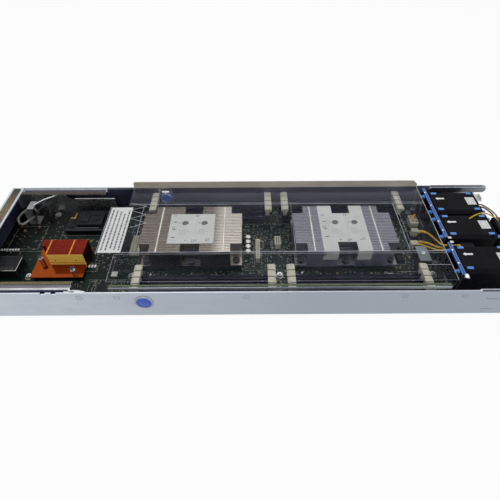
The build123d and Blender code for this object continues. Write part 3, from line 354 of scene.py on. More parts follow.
makeFinish("brightSteel", (215, 217, 220), (245, 246, 247), rough=(0.08, 0.2), metallic=1.0)
# the far strip of the gasket is darker, a painted shade; the near strip is darker and greener
makeFinish("gasketCloth", (84, 72, 52), (136, 118, 88), rough=(0.7, 0.9), scale=420, contrast=3, bump=0.5,
           edge=(176, 160, 128), edgeRadius=0.0004,
           shades=(((0, 1, 0), 0.05, 0.082, (44, 42, 48)), ((0, -1, 0), 0.06, 0.085, (96, 92, 58))))
# the far left corner of the board, in the rear bay, is darker: a painted shade
makeFinish("boardGreen", (3, 13, 12), (10, 34, 28), rough=(0.3, 0.5), scale=130, stretch=(1, 1.6, 1), contrast=3.5,
           bump=0.15, shades=(((-0.7, 0.7, 0), 0.172, 0.24, (15, 12, 11)),),
           spots=((520, 0.26, 0.26, (26, 48, 38)), (900, 0.2, 0.1, (104, 92, 54))), shine=dull)
finStart, finPitch = -0.0285, 0.0026
# the right end is lighter, a painted light; the near face is darker, a painted shade; the lighter stripes along the fin
# edges are a painted highlight
makeFinish("rearFins", (66, 60, 56), (96, 89, 84), rough=(0.25, 0.42), metallic=0.85, scale=22, stretch=(1, 3, 1),
           contrast=1.4, edge=(168, 160, 150), edgeRadius=0.0003,
           shades=(((1, 0, 0), -0.046, -0.034, (184, 179, 170)), ((0, -1, 0), 0.02842, 0.02846, (46, 43, 46))),
           stripes=(((0, 1, 0), finStart, finPitch, 0.22, (148, 140, 131)),))
# the near face is lighter, a painted light; the lighter stripes along the fin edges are a painted highlight
makeFinish("frontFins", (88, 89, 99), (118, 119, 129), rough=(0.25, 0.42), metallic=0.85, scale=22, stretch=(1, 3, 1),
           contrast=1.4, edge=(168, 171, 182), edgeRadius=0.0003,
           shades=(((0, -1, 0), 0.02842, 0.02846, (176, 186, 212)),),
           stripes=(((0, 1, 0), finStart, finPitch, 0.22, (160, 163, 174)),))
makeFinish("copperPlate", (112, 46, 10), (156, 70, 20), rough=(0.08, 0.17), metallic=0.95, scale=40, contrast=1.2,
           bump=0.03, edge=(232, 120, 52), edgeRadius=0.0004)
makeFinish("copperFins", (88, 12, 6), (128, 26, 14), rough=(0.2, 0.34), metallic=0.9, scale=14, stretch=(1, 2, 1),
           contrast=1.2, edge=(206, 84, 40), edgeRadius=0.0003)
makeFinish("socketPlastic", (16, 14, 28), (32, 28, 52), rough=(0.3, 0.5), scale=80, contrast=1.5, edge=(66, 62, 98),
           **darkPart)
makeFinish("latchPlastic", (170, 166, 146), (206, 202, 184), scale=120, contrast=1.6, bump=0.1, edge=(232, 230, 216),
           edgeRadius=0.0005)
makeFinish("fanPlastic", (7, 6, 8), (20, 18, 21), rough=(0.45, 0.7), bump=0.2, edge=(52, 49, 56), edgeRadius=0.0004,
           edgeGain=3, shine=0.06)
makeFinish("blackPlastic", (12, 12, 14), (28, 28, 32), rough=(0.35, 0.55), scale=110, bump=0.1, edge=(60, 60, 66),
           **darkPart)
makeFinish("chipBlack", (16, 17, 19), (34, 35, 37), scale=200, bump=0.2, edge=(74, 76, 78), **darkPart)
makeFinish("whitePlastic", (160, 156, 138), (196, 192, 174), scale=100, bump=0.1, edge=(222, 218, 204))
makeFinish("blueRubber", (52, 118, 214), (104, 160, 236), scale=140, bump=0.1, edge=(140, 190, 250),
           edgeRadius=0.0005)
makeFinish("bluePlastic", (24, 66, 176), (48, 100, 212), rough=(0.25, 0.4), scale=70, contrast=1.4, bump=0.05,
           edge=(96, 146, 236), edgeRadius=0.0004)
makeFinish("blueStrip", (26, 60, 132), (52, 96, 178), rough=(0.3, 0.45), scale=70, contrast=1.4, bump=0.05,
           edge=(140, 178, 232), edgeRadius=0.0005, edgeGain=8)
makeFinish("yellowWire", (182, 138, 10), (226, 184, 34), **wire)
makeFinish("blackWire", (12, 12, 13), (30, 29, 30), shine=satin, **wire)
makeFinish("nickelLid", (168, 168, 166), (206, 206, 202), rough=(0.25, 0.4), metallic=1.0)

clearSet = {
    "haze": 0.006,
    "hazeSpread": 0.034,
    "farPaintedReflection": 0.09,
    "farFrom": 0.04,
    "farTo": 0.082,
    "scratches": 260,
    "tint": (196, 200, 214),
    "metallic": 0.85,
    "reflectIndex": 1.12,
}


def makeClearSheet(name, s):
    # clear sheet: more of it shows at a shallow angle and where it is scuffed, and more towards the far side, a painted
    # reflection
    material, tree, shader = newMaterial(name, {"Base Color": tint(*s["tint"]), "Metallic": s["metallic"]})
    black, white = (0, 0, 0, 1), (1, 1, 1, 1)
    grain = useGroup(tree, grainGroup, grainInputs, (14, (1, 2, 1), black, white, 2.6, 0.05, 0.16))
    scuff = useGroup(tree, grainGroup, grainInputs, (s["scratches"], (0.08, 1, 1), black, white, 3.2, 0.0, 1.0))
    far = useGroup(tree, shadeGroup, ("Direction", "Start", "Stop"), ((0, 1, 0), s["farFrom"], s["farTo"]))
    cloudy = addMath(tree, "MULTIPLY")
    alpha = addMath(tree, "MULTIPLY_ADD", {1: s["hazeSpread"], 2: s["haze"]})
    farther = addMath(tree, "MULTIPLY_ADD", {1: s["farPaintedReflection"]})
    glance = addNode(tree, "ShaderNodeFresnel", {"IOR": s["reflectIndex"]})
    total = addMath(tree, "ADD", use_clamp=True)
    side = addNode(tree, "ShaderNodeNewGeometry")
    outer = addMath(tree, "SUBTRACT", {0: 1})  # the far skin of the sheet shows nothing
    once = addMath(tree, "MULTIPLY")
    joinAll(tree, (grain, "Color", cloudy, 0), (scuff, "Color", cloudy, 1), (cloudy, 0, alpha, 0),
            (far, 0, farther, 0), (alpha, 0, farther, 2), (farther, 0, total, 0), (glance, 0, total, 1),
            (side, "Backfacing", outer, 1), (total, 0, once, 0), (outer, 0, once, 1), (once, 0, shader, "Alpha"),
            (grain, "Roughness", shader, "Roughness"))
    finishes[name] = material


makeClearSheet("clearSheet", clearSet)

# which finish each node of the frame wears
banks = [f"{end}_{side}" for end in ("rear", "front") for side in ("near", "far")]
latchNodes = [f"{bank}_{place}_latches" for bank in banks for place in ("rear", "front")]
fanNames = ["near", "middle", "far"]
nodeFinish = {
    "galvanised": ["tray", "standoffs"],
    "bracketSteel": ["corner_bracket"],
    "cageSteel": ["io_cage"],
    "plainSteel": ["board_screws", "rear_rim", "far_bracket", "near_button_spring", "far_button_spring"],
    "darkSteel": ["near_fan_cage", "far_fan_cage", "cooler_screws"],
    "ringSteel": ["button_rings"],
    "gasketCloth": ["rear_gasket"],
    "boardGreen": ["mainboard"],
    "rearFins": ["rear_cooler_fins", "rear_cooler_plate"],
    "frontFins": ["front_cooler_fins", "front_cooler_plate"],
    "copperPlate": ["chipset_cooler_plate"],
    "copperFins": ["chipset_cooler_fins"],
    "socketPlastic": [f"{bank}_memory_sockets" for bank in banks],
    "latchPlastic": latchNodes,
    "fanPlastic": [f"{n}_fan_{part}" for n in fanNames for part in ("housing", "inlet_rotor", "outlet_rotor")],
    "blackPlastic": ["cable_block", "chokes", "processor_sockets"],
    "chipBlack": ["chips", "low_card"],
    "whitePlastic": ["wire_plugs", "board_connectors"],
    "blueRubber": ["fan_rubber_mounts"],
    "bluePlastic": ["near_release_button", "far_release_button"],
    "blueStrip": ["cage_strips"],
    "yellowWire": ["yellow_wires"],
    "blackWire": ["black_wires"],
    "nickelLid": ["processors", "chipset_push_pins", "capacitors"],
    "clearSheet": ["air_shroud", "shroud_rivets"],
}


def dressNodes(table):
    dressed = set()
    for finish, names in table.items():
        for name in names:
            piece = nodes[name]
            if not piece.material_slots:
                piece.data.materials.append(None)
            for slot in piece.material_slots:
                slot.material = finishes[finish]
            dressed.add(name)
    bare = sorted(set(nodes) - dressed)
    print("nodes dressed:", len(dressed), "bare:", bare)


dressNodes(nodeFinish)


# mesh and repeat tools, with sizes in millimetres
def addPoint(bm, x, y, z):
    return bm.verts.new((x * mm, y * mm, z * mm))


def addBox(bm, x, y, z):
    corners = [addPoint(bm, a, b, c) for c in sorted(z) for b in sorted(y) for a in sorted(x)]
    for ring in ((0, 2, 3, 1), (4, 5, 7, 6), (0, 1, 5, 4), (2, 6, 7, 3), (0, 4, 6, 2), (1, 3, 7, 5)):
        bm.faces.new([corners[i] for i in ring])


def stepsFrom(start, stop, pitch):
    while start < stop:
        yield start
        start += pitch


def skinRings(bm, rings, closed=True):
    # faces from ring to ring, where a ring may be a single point, and over both ends
    for a, b in zip(rings, rings[1:]):
        count = max(len(a), len(b))
        for i in range(count):
            j = (i + 1) % count
            corners = [a[i % len(a)], a[j % len(a)], b[j % len(b)], b[i % len(b)]]
            bm.faces.new(list(dict.fromkeys(corners)))
    if closed:
        bm.faces.new(list(reversed(rings[0])))
        bm.faces.new(rings[-1])


def ringAround(bm, middle, across, other, radius, sides):
    angles = (2 * math.pi * k / sides for k in range(sides))
    return [bm.verts.new((middle + (across * math.cos(t) + other * math.sin(t)) * radius) * mm) for t in angles]


def addSlab(bm, outline, levels, upright=False):
    # a plate with any outline, flat between two heights or upright between two places across the sled
    skinRings(bm, [[addPoint(bm, a, level, b) if upright else addPoint(bm, a, b, level) for a, b in outline]
                   for level in levels])


def addTurned(bm, centre, axis, profile, sides=24):
    # a turned form: profile gives (distance along the axis, radius)
    line = Vector(axis).normalized()
    across = line.orthogonal().normalized()
    other = line.cross(across)
    rings = []
    for along, radius in profile:
        middle = Vector(centre) + line * along
        rings.append(ringAround(bm, middle, across, other, radius, sides if radius else 1))
    skinRings(bm, rings, closed=False)


def takeMesh(name, bm, bevel=0.0, smooth=False):
    bmesh.ops.remove_doubles(bm, verts=bm.verts, dist=1e-7)
    if bevel:
        bmesh.ops.bevel(bm, geom=list(bm.edges), offset=bevel * mm, segments=1, affect="EDGES", profile=0.5)
    bmesh.ops.recalc_face_normals(bm, faces=bm.faces)
    mesh = bpy.data.meshes.new(name)
    bm.to_mesh(mesh)
    bm.free()
    if smooth:
        mesh.shade_smooth()
        mesh.set_sharp_from_angle(angle=math.radians(35))
    return mesh


def turnedMesh(name, profile, sides, smooth=False):
    bm = bmesh.new()
    addTurned(bm, (0, 0, 0), (0, 0, 1), profile, sides)
    return takeMesh(name, bm, smooth=smooth)


def boxMesh(name, boxes, bevel=0.0):
    bm = bmesh.new()
    for x, y, z in boxes:
        addBox(bm, x, y, z)
    return takeMesh(name, bm, bevel)


def showPiece(name, mesh, slot, body):
    piece = addObject(name, mesh)
    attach(piece, body)


def addPiece(name, form, finish, slot, body="sled", bevel=0.0, smooth=False):
    # form is a bmesh or a list of boxes
    mesh = boxMesh(name, form, bevel) if isinstance(form, list) else takeMesh(name, form, bevel, smooth)
    mesh.materials.append(finishes[finish])
    showPiece(name, mesh, slot, body)


def newGrowTree(name, inputs):
    # one part on many places, made real and given its finish
    tree = bpy.data.node_groups.new(name, "GeometryNodeTree")
    for label, kind in inputs.items():
        tree.interface.new_socket(label, in_out="INPUT", socket_type="NodeSocket" + kind)
    tree.interface.new_socket("Geometry", in_out="OUTPUT", socket_type="NodeSocketGeometry")
    given, made = addNode(tree, "NodeGroupInput"), addNode(tree, "NodeGroupOutput")
    part, put = addNode(tree, "GeometryNodeObjectInfo"), addNode(tree, "GeometryNodeInstanceOnPoints")
    solid, paint = addNode(tree, "GeometryNodeRealizeInstances"), addNode(tree, "GeometryNodeSetMaterial")
    joinAll(tree, (given, "Part", part, "Object"), (part, "Geometry", put, "Instance"), (put, 0, solid, 0),
            (solid, 0, paint, "Geometry"), (given, "Finish", paint, "Material"), (paint, 0, made, 0))
    return tree, given, put


def makePointsTree():
    # a part on every point given, with a size and a quarter turn drawn from a fixed seed
    tree, given, put = newGrowTree("partsOnPoints", {"Points": "Geometry", "Part": "Object", "Size Low": "Float",
                                                     "Size High": "Float", "Quarter Turns": "Int", "Seed": "Int",
                                                     "Finish": "Material"})
    size = addNode(tree, "FunctionNodeRandomValue", data_type="FLOAT")
    quarter = addNode(tree, "FunctionNodeRandomValue", data_type="INT")
    angle = addMath(tree, "MULTIPLY", {1: math.pi / 2})
    turn = addNode(tree, "ShaderNodeCombineXYZ")
    joinAll(tree, (given, "Points", put, "Points"), (given, "Size Low", size, 2), (given, "Size High", size, 3),
            (given, "Seed", size, "Seed"), (given, "Quarter Turns", quarter, 5), (given, "Seed", quarter, "Seed"),
            (quarter, 2, angle, 0), (angle, 0, turn, "Z"), (turn, 0, put, "Rotation"), (size, 1, put, "Scale"))
    return tree


def makeGridTree():
    # a part on every point of a grid round a centre
    tree, given, put = newGrowTree("partsOnGrid", {"Part": "Object", "Count X": "Int", "Count Y": "Int",
                                                   "Size X": "Float", "Size Y": "Float", "Centre": "Vector",
                                                   "Finish": "Material"})
    grid, move = addNode(tree, "GeometryNodeMeshGrid"), addNode(tree, "GeometryNodeTransform")
    joinAll(tree, (given, "Size X", grid, "Size X"), (given, "Size Y", grid, "Size Y"),
            (given, "Count X", grid, "Vertices X"), (given, "Count Y", grid, "Vertices Y"),
            (grid, "Mesh", move, "Geometry"), (given, "Centre", move, "Translation"), (move, 0, put, "Points"))
    return tree


pointsTree, gridTree = makePointsTree(), makeGridTree()


def growPiece(name, tree, start, part, finish, slot, values):
    base, one = addObject(name + "Base", start), addObject(part.name + "Part", part)
    grow = base.modifiers.new("grow", "NODES")
    grow.node_group = tree
    keys = {item.name: item.identifier for item in tree.interface.items_tree if item.in_out == "INPUT"}
    for label, value in {"Part": one, "Finish": finishes[finish], **values}.items():
        grow[keys[label]] = value
    base.update_tag()
    bpy.context.view_layer.update()
    mesh = bpy.data.meshes.new_from_object(base.evaluated_get(bpy.context.evaluated_depsgraph_get()))
    mesh.name = name
    base.modifiers.clear()
    for item in (base, one):
        bpy.data.objects.remove(item)
    showPiece(name, mesh, slot, "sled")


def onPoints(name, part, points, finish, slot="steel", sizes=(1, 1), turns=0, seed=1):
    # part is a mesh around its own foot
    start = bpy.data.meshes.new(name + "Points")
    start.from_pydata([Vector(p) * mm for p in points], [], [])
    growPiece(name, pointsTree, start, part, finish, slot,
              {"Size Low": sizes[0], "Size High": sizes[1], "Quarter Turns": turns, "Seed": seed})


def onGrid(name, part, counts, steps, first, finish, slot):
    spans = [(c - 1) * s for c, s in zip(counts, steps)]
    centre = Vector((first[0] + spans[0] / 2, first[1] + spans[1] / 2, first[2])) * mm
    growPiece(name, gridTree, bpy.data.meshes.new(name + "Start"), part, finish, slot,
              {"Count X": counts[0], "Count Y": counts[1], "Size X": spans[0] * mm, "Size Y": spans[1] * mm,
               "Centre": centre})


def nodeBox(name):
    low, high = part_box(name)
    return [v / mm for v in low], [v / mm for v in high]


print("tools are ready")

# labels, left without words
paperSet = {"thickness": 0.12, "printRise": 0.03}
makeFinish("paper", (205, 206, 204), (228, 229, 227), rough=(0.45, 0.6), contrast=1.4)
# the cooler labels under the shroud wear a darker copy of the paper, a painted shade
makeFinish("coolerPaper", (184, 185, 182), (204, 205, 202), rough=(0.45, 0.6), contrast=1.4)
makeFinish("greyPrint", (70, 70, 72), (104, 104, 106), **ink)
makeFinish("palePrint", (160, 162, 164), (182, 184, 186), **ink)
makeFinish("whiteInk", (225, 225, 225), (245, 245, 245), **ink)


def addLabel(name, outline, z, body, folds=(), finish="paper"):
    bm = bmesh.new()
    addSlab(bm, outline, (z, z + paperSet["thickness"]))
    for x, y, depth in folds:
        addBox(bm, x, (y - paperSet["thickness"], y), (z - depth, z + paperSet["thickness"]))
    addPiece(name, bm, finish, "white_plastic", body)


def addPrint(name, bars, z, finish, body):
    # plain bars where the real label is printed
    low = z + paperSet["thickness"]
    addPiece(name, [(x, y, (low, low + paperSet["printRise"])) for x, y in bars], finish, "black_plastic", body)


rearLabel = {"x": (-170.6, -144.6), "y": (-32.0, 45.0), "rise": 33.4, "columns": 5, "first": 3.4, "pitch": 4.9,
             "bar": 1.9, "shortest": 1.6, "longest": 5.2, "gap": 1.0, "edge": 3.0, "startSpread": 4,
             "stopSpread": 8, "seed": 4}


def makeRearLabel(s):
    (x0, x1), (y0, y1) = s["x"], s["y"]
    z = nodeBox("air_shroud")[0][2] + s["rise"]
    addLabel("rearLabel", [(x0, y0), (x1, y0), (x1, y1), (x0, y1)], z, "air_shroud")
    draw = random.Random(s["seed"])
    bars = []
    for column in range(s["columns"]):
        x = x0 + s["first"] + column * s["pitch"]
        y = y0 + s["edge"] + draw.uniform(0, s["startSpread"])
        stop = y1 - s["edge"] - draw.uniform(0, s["stopSpread"])
        while y < stop:
            run = draw.uniform(s["shortest"], s["longest"])
            bars.append(((x - s["bar"] / 2, x + s["bar"] / 2), (y, min(y + run, stop))))
            y += run + s["gap"]
    addPrint("rearLabelBars", bars, z, "greyPrint", "air_shroud")


makeRearLabel(rearLabel)

coolerLabel = {
    "rear": {"x": (-96.0, -42.5), "y": (-15.5, 35.0), "notch": None, "fold": 0},
    "front": {"x": (83.0, 138.0), "y": (-28.3, 49.3), "notch": (100.2, 121.8, 14.2), "fold": 14.5},
}
# plain bars of the print: round each panel, from the label's left edge, and as small frames
labelPrint = {
    "middleY": 10.0,
    "panels": (-8.5, 14.5),  # from the label's middle
    "panelRules": [((-9.6, -9.2), (-13, 17)), ((-9.2, 9.2), (16.6, 17))] + [
        ((2.1 * k - 6, 2.1 * k - 5), (-11, -1)) for k in range(4)],
    "panelPads": [((-3.8, 3.8), (7.0, 11.0)), ((-2.2, 2.6), (11.0, 12.6)), ((-2.8, 1.8), (5.4, 7.0)),
                  ((-8.0, -4.8), (8.8, 9.7)), ((3.6, 4.6), (-6.4, -5.4))],
    "edgeMarks": [row for k in range(3) for row in (((4, 8), (13 * k - 16, 13 * k - 14.6)),
                                                    ((20 + 12 * k, 21.6 + 12 * k), (-21, -19.6)))],
    "frame": [((-1.6, 1.6), (-1.6, -1.1)), ((-1.6, 1.6), (1.1, 1.6)), ((-1.6, -1.1), (-1.1, 1.1)),
              ((1.1, 1.6), (-1.1, 1.1))],
    "frameAt": [(0, 5, 1), (0.5, 3, -21), (1, -7, -19), (0.5, 5, 22), (0, 5, 22)],  # share of the length, then x and y
}


def shifted(rows, x, y):
    return [((x + a, x + b), (y + c, y + d)) for (a, b), (c, d) in rows]


def makeCoolerLabel(end, s, marks):
    low, high = nodeBox(end + "_cooler_fins")
    (x0, x1), (y0, y1) = s["x"], s["y"]
    z = high[2] + 0.02
    outline = [(x0, y0), (x1, y0), (x1, y1), (x0, y1)]
    folds = ()
    if s["notch"]:
        a, b, deep = s["notch"]
        outline = [(x0, y0), (a, y0), (a, y0 + deep), (b, y0 + deep), (b, y0), (x1, y0),
                   (x1, y1), (b, y1), (b, y1 - deep), (a, y1 - deep), (a, y1), (x0, y1)]
        folds = [((x0, a), low[1] - 0.05, s["fold"]), ((b, x1), low[1] - 0.05, s["fold"])]
    addLabel(end + "CoolerLabel", outline, z, "sled", folds, "coolerPaper")
    pale, dark, cy = [], [], marks["middleY"]
    for px in marks["panels"]:
        px += (x0 + x1) / 2
        pale += shifted(marks["panelRules"], px, cy)
        dark += shifted(marks["panelPads"], px, cy)
    dark += shifted(marks["edgeMarks"], x0, cy)
    for share, dx, dy in marks["frameAt"]:
        dark += shifted(marks["frame"], x0 + share * (x1 - x0) + dx, cy + dy)
    addPrint(end + "CoolerLabelRules", pale, z, "palePrint", "sled")
    addPrint(end + "CoolerLabelPads", dark, z, "greyPrint", "sled")


for end, s in coolerLabel.items():
    makeCoolerLabel(end, s, labelPrint)

fanMarks = {
    "arrow": [(-5.5, 0), (-2.4, -2.6), (-2.4, -1.2), (5.5, -1.2), (5.5, 1.2), (-2.4, 1.2), (-2.4, 2.6)],
    "arrowFromInlet": 10.5, "arrowAcross": 5.0, "labelFromInlet": (42.0, 53.0), "labelHalf": 7.0, "rise": 0.05,
    "margin": 2.0, "bar": 0.5, "frameHalf": 4.5,
}


def makeFanMarks(s):
    arrows, papers, frames = bmesh.new(), bmesh.new(), bmesh.new()
    for name in fanNames:
        low, high = nodeBox(name + "_fan_housing")
        middle = (low[1] + high[1]) / 2
        z = high[2] + s["rise"]
        addSlab(arrows, [(low[0] + s["arrowFromInlet"] + a, middle + s["arrowAcross"] + b) for a, b in s["arrow"]],
                (z, z + 0.04))
        a, b = (low[0] + v for v in s["labelFromInlet"])
        addBox(papers, (a, b), (middle - s["labelHalf"], middle + s["labelHalf"]), (z, z + 0.1))
        left, right, bar, half = a + s["margin"], b - s["margin"], s["bar"], s["frameHalf"]
        inner = (left + bar, right - bar)
        for x, y in (((left, left + bar), (-half, half)), ((right - bar, right), (-half, half)),
                     (inner, (-half, bar - half)), (inner, (half - bar, half))):
            addBox(frames, x, (middle + y[0], middle + y[1]), (z + 0.1, z + 0.13))
    addPiece("fanArrows", arrows, "whiteInk", "white_plastic")
    addPiece("fanLabels", papers, "paper", "white_plastic")
    addPiece("fanLabelFrames", frames, "palePrint", "black_plastic")


makeFanMarks(fanMarks)
print("labels and arrows are on")

# dimples of the steel walls, and a sheet of painted shade on the far wall
dimpleSet = {
    "outerX": (-177, -138.5, -4, 159.5, 221.5), "innerX": (-208.5, -166, 67, 162), "z": 32.5, "ring": 3.4, "lip": 0.6,
    "depth": 0.16, "dot": 0.7,
    "rows": (("nearDimples", -1, -87.5, "outerX"), ("farOuterDimples", 1, 87.5, "outerX"),
             ("farDimples", -1, 86.3, "innerX")),
}
makeFinish("dimpleSteel", (104, 114, 126), (130, 140, 152), rough=(0.3, 0.45), metallic=0.6, scale=90)


def makeDimples(s):
    for name, direction, y, xs in s["rows"]:
        bm = bmesh.new()
        ring = [(0.0, s["ring"]), (s["depth"], s["ring"] - s["lip"] / 2), (0.0, s["ring"] - s["lip"])]
        dot = [(0.0, s["dot"]), (s["depth"], s["dot"] * 0.6), (s["depth"], 0)]
        addTurned(bm, (0, 0, 0), (0, direction, 0), ring, 20)
        addTurned(bm, (0, 0, 0), (0, direction, 0), dot, 12)
        onPoints(name, takeMesh(name + "One", bm), [(x, y, s["z"]) for x in s[xs]], "dimpleSteel", "galvanised")


makeDimples(dimpleSet)

# a dark sheet of painted shade on the far wall beside the memory sockets, lighter towards +X as a painted light
makeFinish("darkLining", (40, 42, 62), (66, 68, 92), rough=(0.3, 0.45), metallic=0.3, scale=40,
           shades=(((1, 0, 0), -0.14, -0.03, (88, 90, 114)),), shine=satin)
farWallShade = {"x": (-151.0, 220.0), "rearX": (-286.0, -151.0), "y": (86.05, 86.3), "z": (1.4, 38.6), "rearZ": (1.4, 37.6),
          "buttonX": -111.5, "buttonZ": 24.5, "hole": 9.4}


def makeFarWallShade(s):
    left, right, below = s["buttonX"] - s["hole"], s["buttonX"] + s["hole"], s["buttonZ"] - s["hole"]
    addPiece("farWallLining", [((s["x"][0], left), s["y"], s["z"]), ((right, s["x"][1]), s["y"], s["z"]),
                               ((left, right), s["y"], (s["z"][0], below)), (s["rearX"], s["y"], s["rearZ"])],
             "darkLining", "black_plastic")


makeFarWallShade(farWallShade)

# the shroud's flange and step, and bright fold lines of painted highlight
makeFinish("frostedFlange", (176, 168, 152), (206, 198, 182), scale=30, stretch=(1, 1, 3), contrast=1.8)
# bright strips along the folds and edges of the clear sheet, a painted highlight
makeFinish("foldLine", (150, 156, 168), (206, 212, 220), rough=(0.1, 0.2), metallic=0.3, scale=40, contrast=2.6)
makeFinish("oliveTape", (58, 70, 50), (92, 104, 76), rough=(0.5, 0.7), scale=160)
# lighter towards +X, a painted light
makeFinish("stripGrey", (126, 134, 136), (164, 172, 172), rough=(0.2, 0.35), scale=24, stretch=(1, 4, 4),
           contrast=2.4, shades=(((1, 0, 0), 0.1, 0.19, (228, 232, 230)),))
shroudSet = {
    "farFlange": (-150.9, 216.9), "flangeY": (84.1, 84.9), "flangeFoot": 41.5, "cut": 5.0, "rearCut": 2.0, "skin": 0.12,
    "tape": ((-148.0, 209.0), (-77.9, -75.3), (38.4, 38.6)),
    "lip": ((-148.0, 209.0), (-79.7, -79.5), (34.6, 38.1)),
    "lines": [((-148.0, 209.0), (-79.8, -79.2), (38.1, 38.5)), ((-150.5, 216.5), (-73.75, -73.6), (41.38, 41.5)),
              ((-150.5, 216.5), (-31.9, -31.3), (41.38, 41.5)), ((-150.5, 216.5), (-34.6, -34.3), (41.38, 41.46)),
              ((-150.5, 216.5), (50.1, 50.6), (41.38, 41.5)), ((-150.5, 216.5), (53.0, 53.2), (41.38, 41.46)),
              ((-151.05, -150.9), (-73.5, -34), (40.6, 41.5)), ((-172.2, -171.8), (-33.8, 46.8), (40.6, 41.5)),
              ((216.7, 217.1), (-73.5, 84), (40.6, 41.5)), ((50.4, 50.7), (-31, 50), (41.38, 41.46)),
              ((177.4, 177.9), (-31, 50), (41.38, 41.5)), ((181.2, 181.4), (-31, 50), (41.38, 41.46)),
              ((-131.6, -131.2), (-31, 50), (41.38, 41.46)), ((188, 216), (-52.4, -52.0), (41.38, 41.46))],
}


def makeShroudTrim(s):
    top, foot, cut, rear = nodeBox("air_shroud")[1][2], s["flangeFoot"], s["cut"], s["rearCut"]
    x0, x1 = s["farFlange"]
    bm = bmesh.new()
    addSlab(bm, [(x0, foot), (x1, foot), (x1, top - cut), (x1 - cut, top), (x0 + rear, top), (x0, top - rear)],
            (s["flangeY"][0] - s["skin"], s["flangeY"][1] + s["skin"]), upright=True)
    for name, form, finish, slot in (("shroudFarFlange", bm, "frostedFlange", "clear_plastic"),
                                     ("shroudOliveTape", [s["tape"]], "oliveTape", "gasket"),
                                     ("shroudNearLip", [s["lip"]], "stripGrey", "clear_plastic"),
                                     ("shroudFoldLines", s["lines"], "foldLine", "clear_plastic")):
        addPiece(name, form, finish, slot, "air_shroud")


makeShroudTrim(shroudSet)
print("walls and shroud are trimmed")

# small parts on the board
boardTop = 8.0
makeFinish("tinEnds", (104, 104, 100), (168, 168, 162), rough=(0.25, 0.4), metallic=1.0, scale=300)
makeFinish("tanPart", (104, 78, 48), (150, 118, 78), scale=300)
makeFinish("goldPads", (128, 98, 44), (180, 146, 80), rough=(0.22, 0.36), metallic=0.9, scale=200)
makeFinish("silkPrint", (120, 132, 120), (168, 178, 166), rough=(0.5, 0.6), scale=300)
makeFinish("whiteCap", (206, 206, 200), (236, 236, 230), rough=(0.4, 0.55), scale=200, bump=0.05)

boardZones = {  # x range, y range, how many parts
    "left": ((-182, -130), (-81, -44), 60),
    "leftMiddle": ((-190, -131), (-42, 84), 110),
    "bayNear": ((-262, -186), (-80, -46), 60),
    "bayFar": ((-266, -180), (4, 76), 44),
    "bayRear": ((-304, -262), (-14, 76), 38),
    "betweenNear": ((28, 39.5), (-80, -41), 26),
    "betweenFar": ((28, 39.5), (51, 84), 22),
    "betweenCoolers": ((-9.5, 51.5), (-30, 49), 130),
    "nearEdge": ((-126, 206), (-81.2, -77.4), 100),
    "nearDuct": ((-126, 196), (-41.2, -32.4), 120),
    "farDuct": ((-126, 196), (50.8, 51.3), 30),
    "fanEndMiddle": ((171, 214), (-30, 50), 110),
    "fanEndNear": ((198, 214), (-80, -33), 40),
    "fanEndFar": ((198, 214), (51, 83), 28),
}
takenPlaces = [((-310, -265.5), (-41, -15.5)), ((-236, -179), (32, 72)), ((-289, -274), (51, 68)),
               ((-169.3, -152.3), (-74.1, -67.1)), ((-175.5, -158), (-63.8, -46.2)), ((-157.4, -146), (-56.6, -45.4)),
               ((-150, -130), (-10, 30)), ((-254, -190), (-45, 4)),
               ((-7.5, 2), (-10, 23)), ((5, 13), (-20, 16)), ((15.5, 26.5), (3, 20.5)), ((28.5, 38.5), (3, 20)),
               ((173, 184), (-21.5, 42)), ((194.5, 211.5), (-29.5, -2.5)), ((194.5, 212.5), (1, 33)),
               ((28, 39.5), (-41.6, -34)), ((28, 39.5), (66, 74.5)), ((206, 216), (-42, -34)),
               ((206, 216), (66, 74.5)),
               ((-143, -133), (-42, -34)), ((-262, -251.5), (-43, -33)), ((-262, -251.5), (66, 74.5)),
               ((-143, -133), (66, 74.5)), ((166, 176), (-43, -34))]
smallParts = {
    "resistor": {"size": (1.8, 1.0, 0.5), "end": 0.4, "share": 0.44, "body": "chipBlack", "seed": 3},
    "capacitor": {"size": (1.8, 1.0, 0.95), "end": 0.45, "share": 0.38, "body": "tanPart", "seed": 5},
    "driver": {"size": (3.0, 2.6, 1.0), "end": 0.0, "share": 0.15, "body": "chipBlack", "seed": 7},
    "bigCap": {"size": (3.2, 2.6, 1.8), "end": 0.6, "share": 0.03, "body": "tanPart", "seed": 9},
}

spacing = {"grid": 1.2, "alongX": 3.3, "alongY": 2.9, "tries": 6, "seed": 11}


def freePlaces(zone, draw, s):
    # places on a fine grid, clear of the bigger parts and of each other
    (x0, x1), (y0, y1), count = zone
    found = []
    for k in range(count * s["tries"]):
        x = round(draw.uniform(x0, x1) / s["grid"]) * s["grid"]
        y = round(draw.uniform(y0, y1) / s["grid"]) * s["grid"]
        if any(a < x < b and c < y < d for (a, b), (c, d) in takenPlaces):
            continue
        if any(abs(x - p[0]) < s["alongX"] and abs(y - p[1]) < s["alongY"] for p in found):
            continue
        found.append((x, y, boardTop))
        if len(found) == count:
            break
    return found


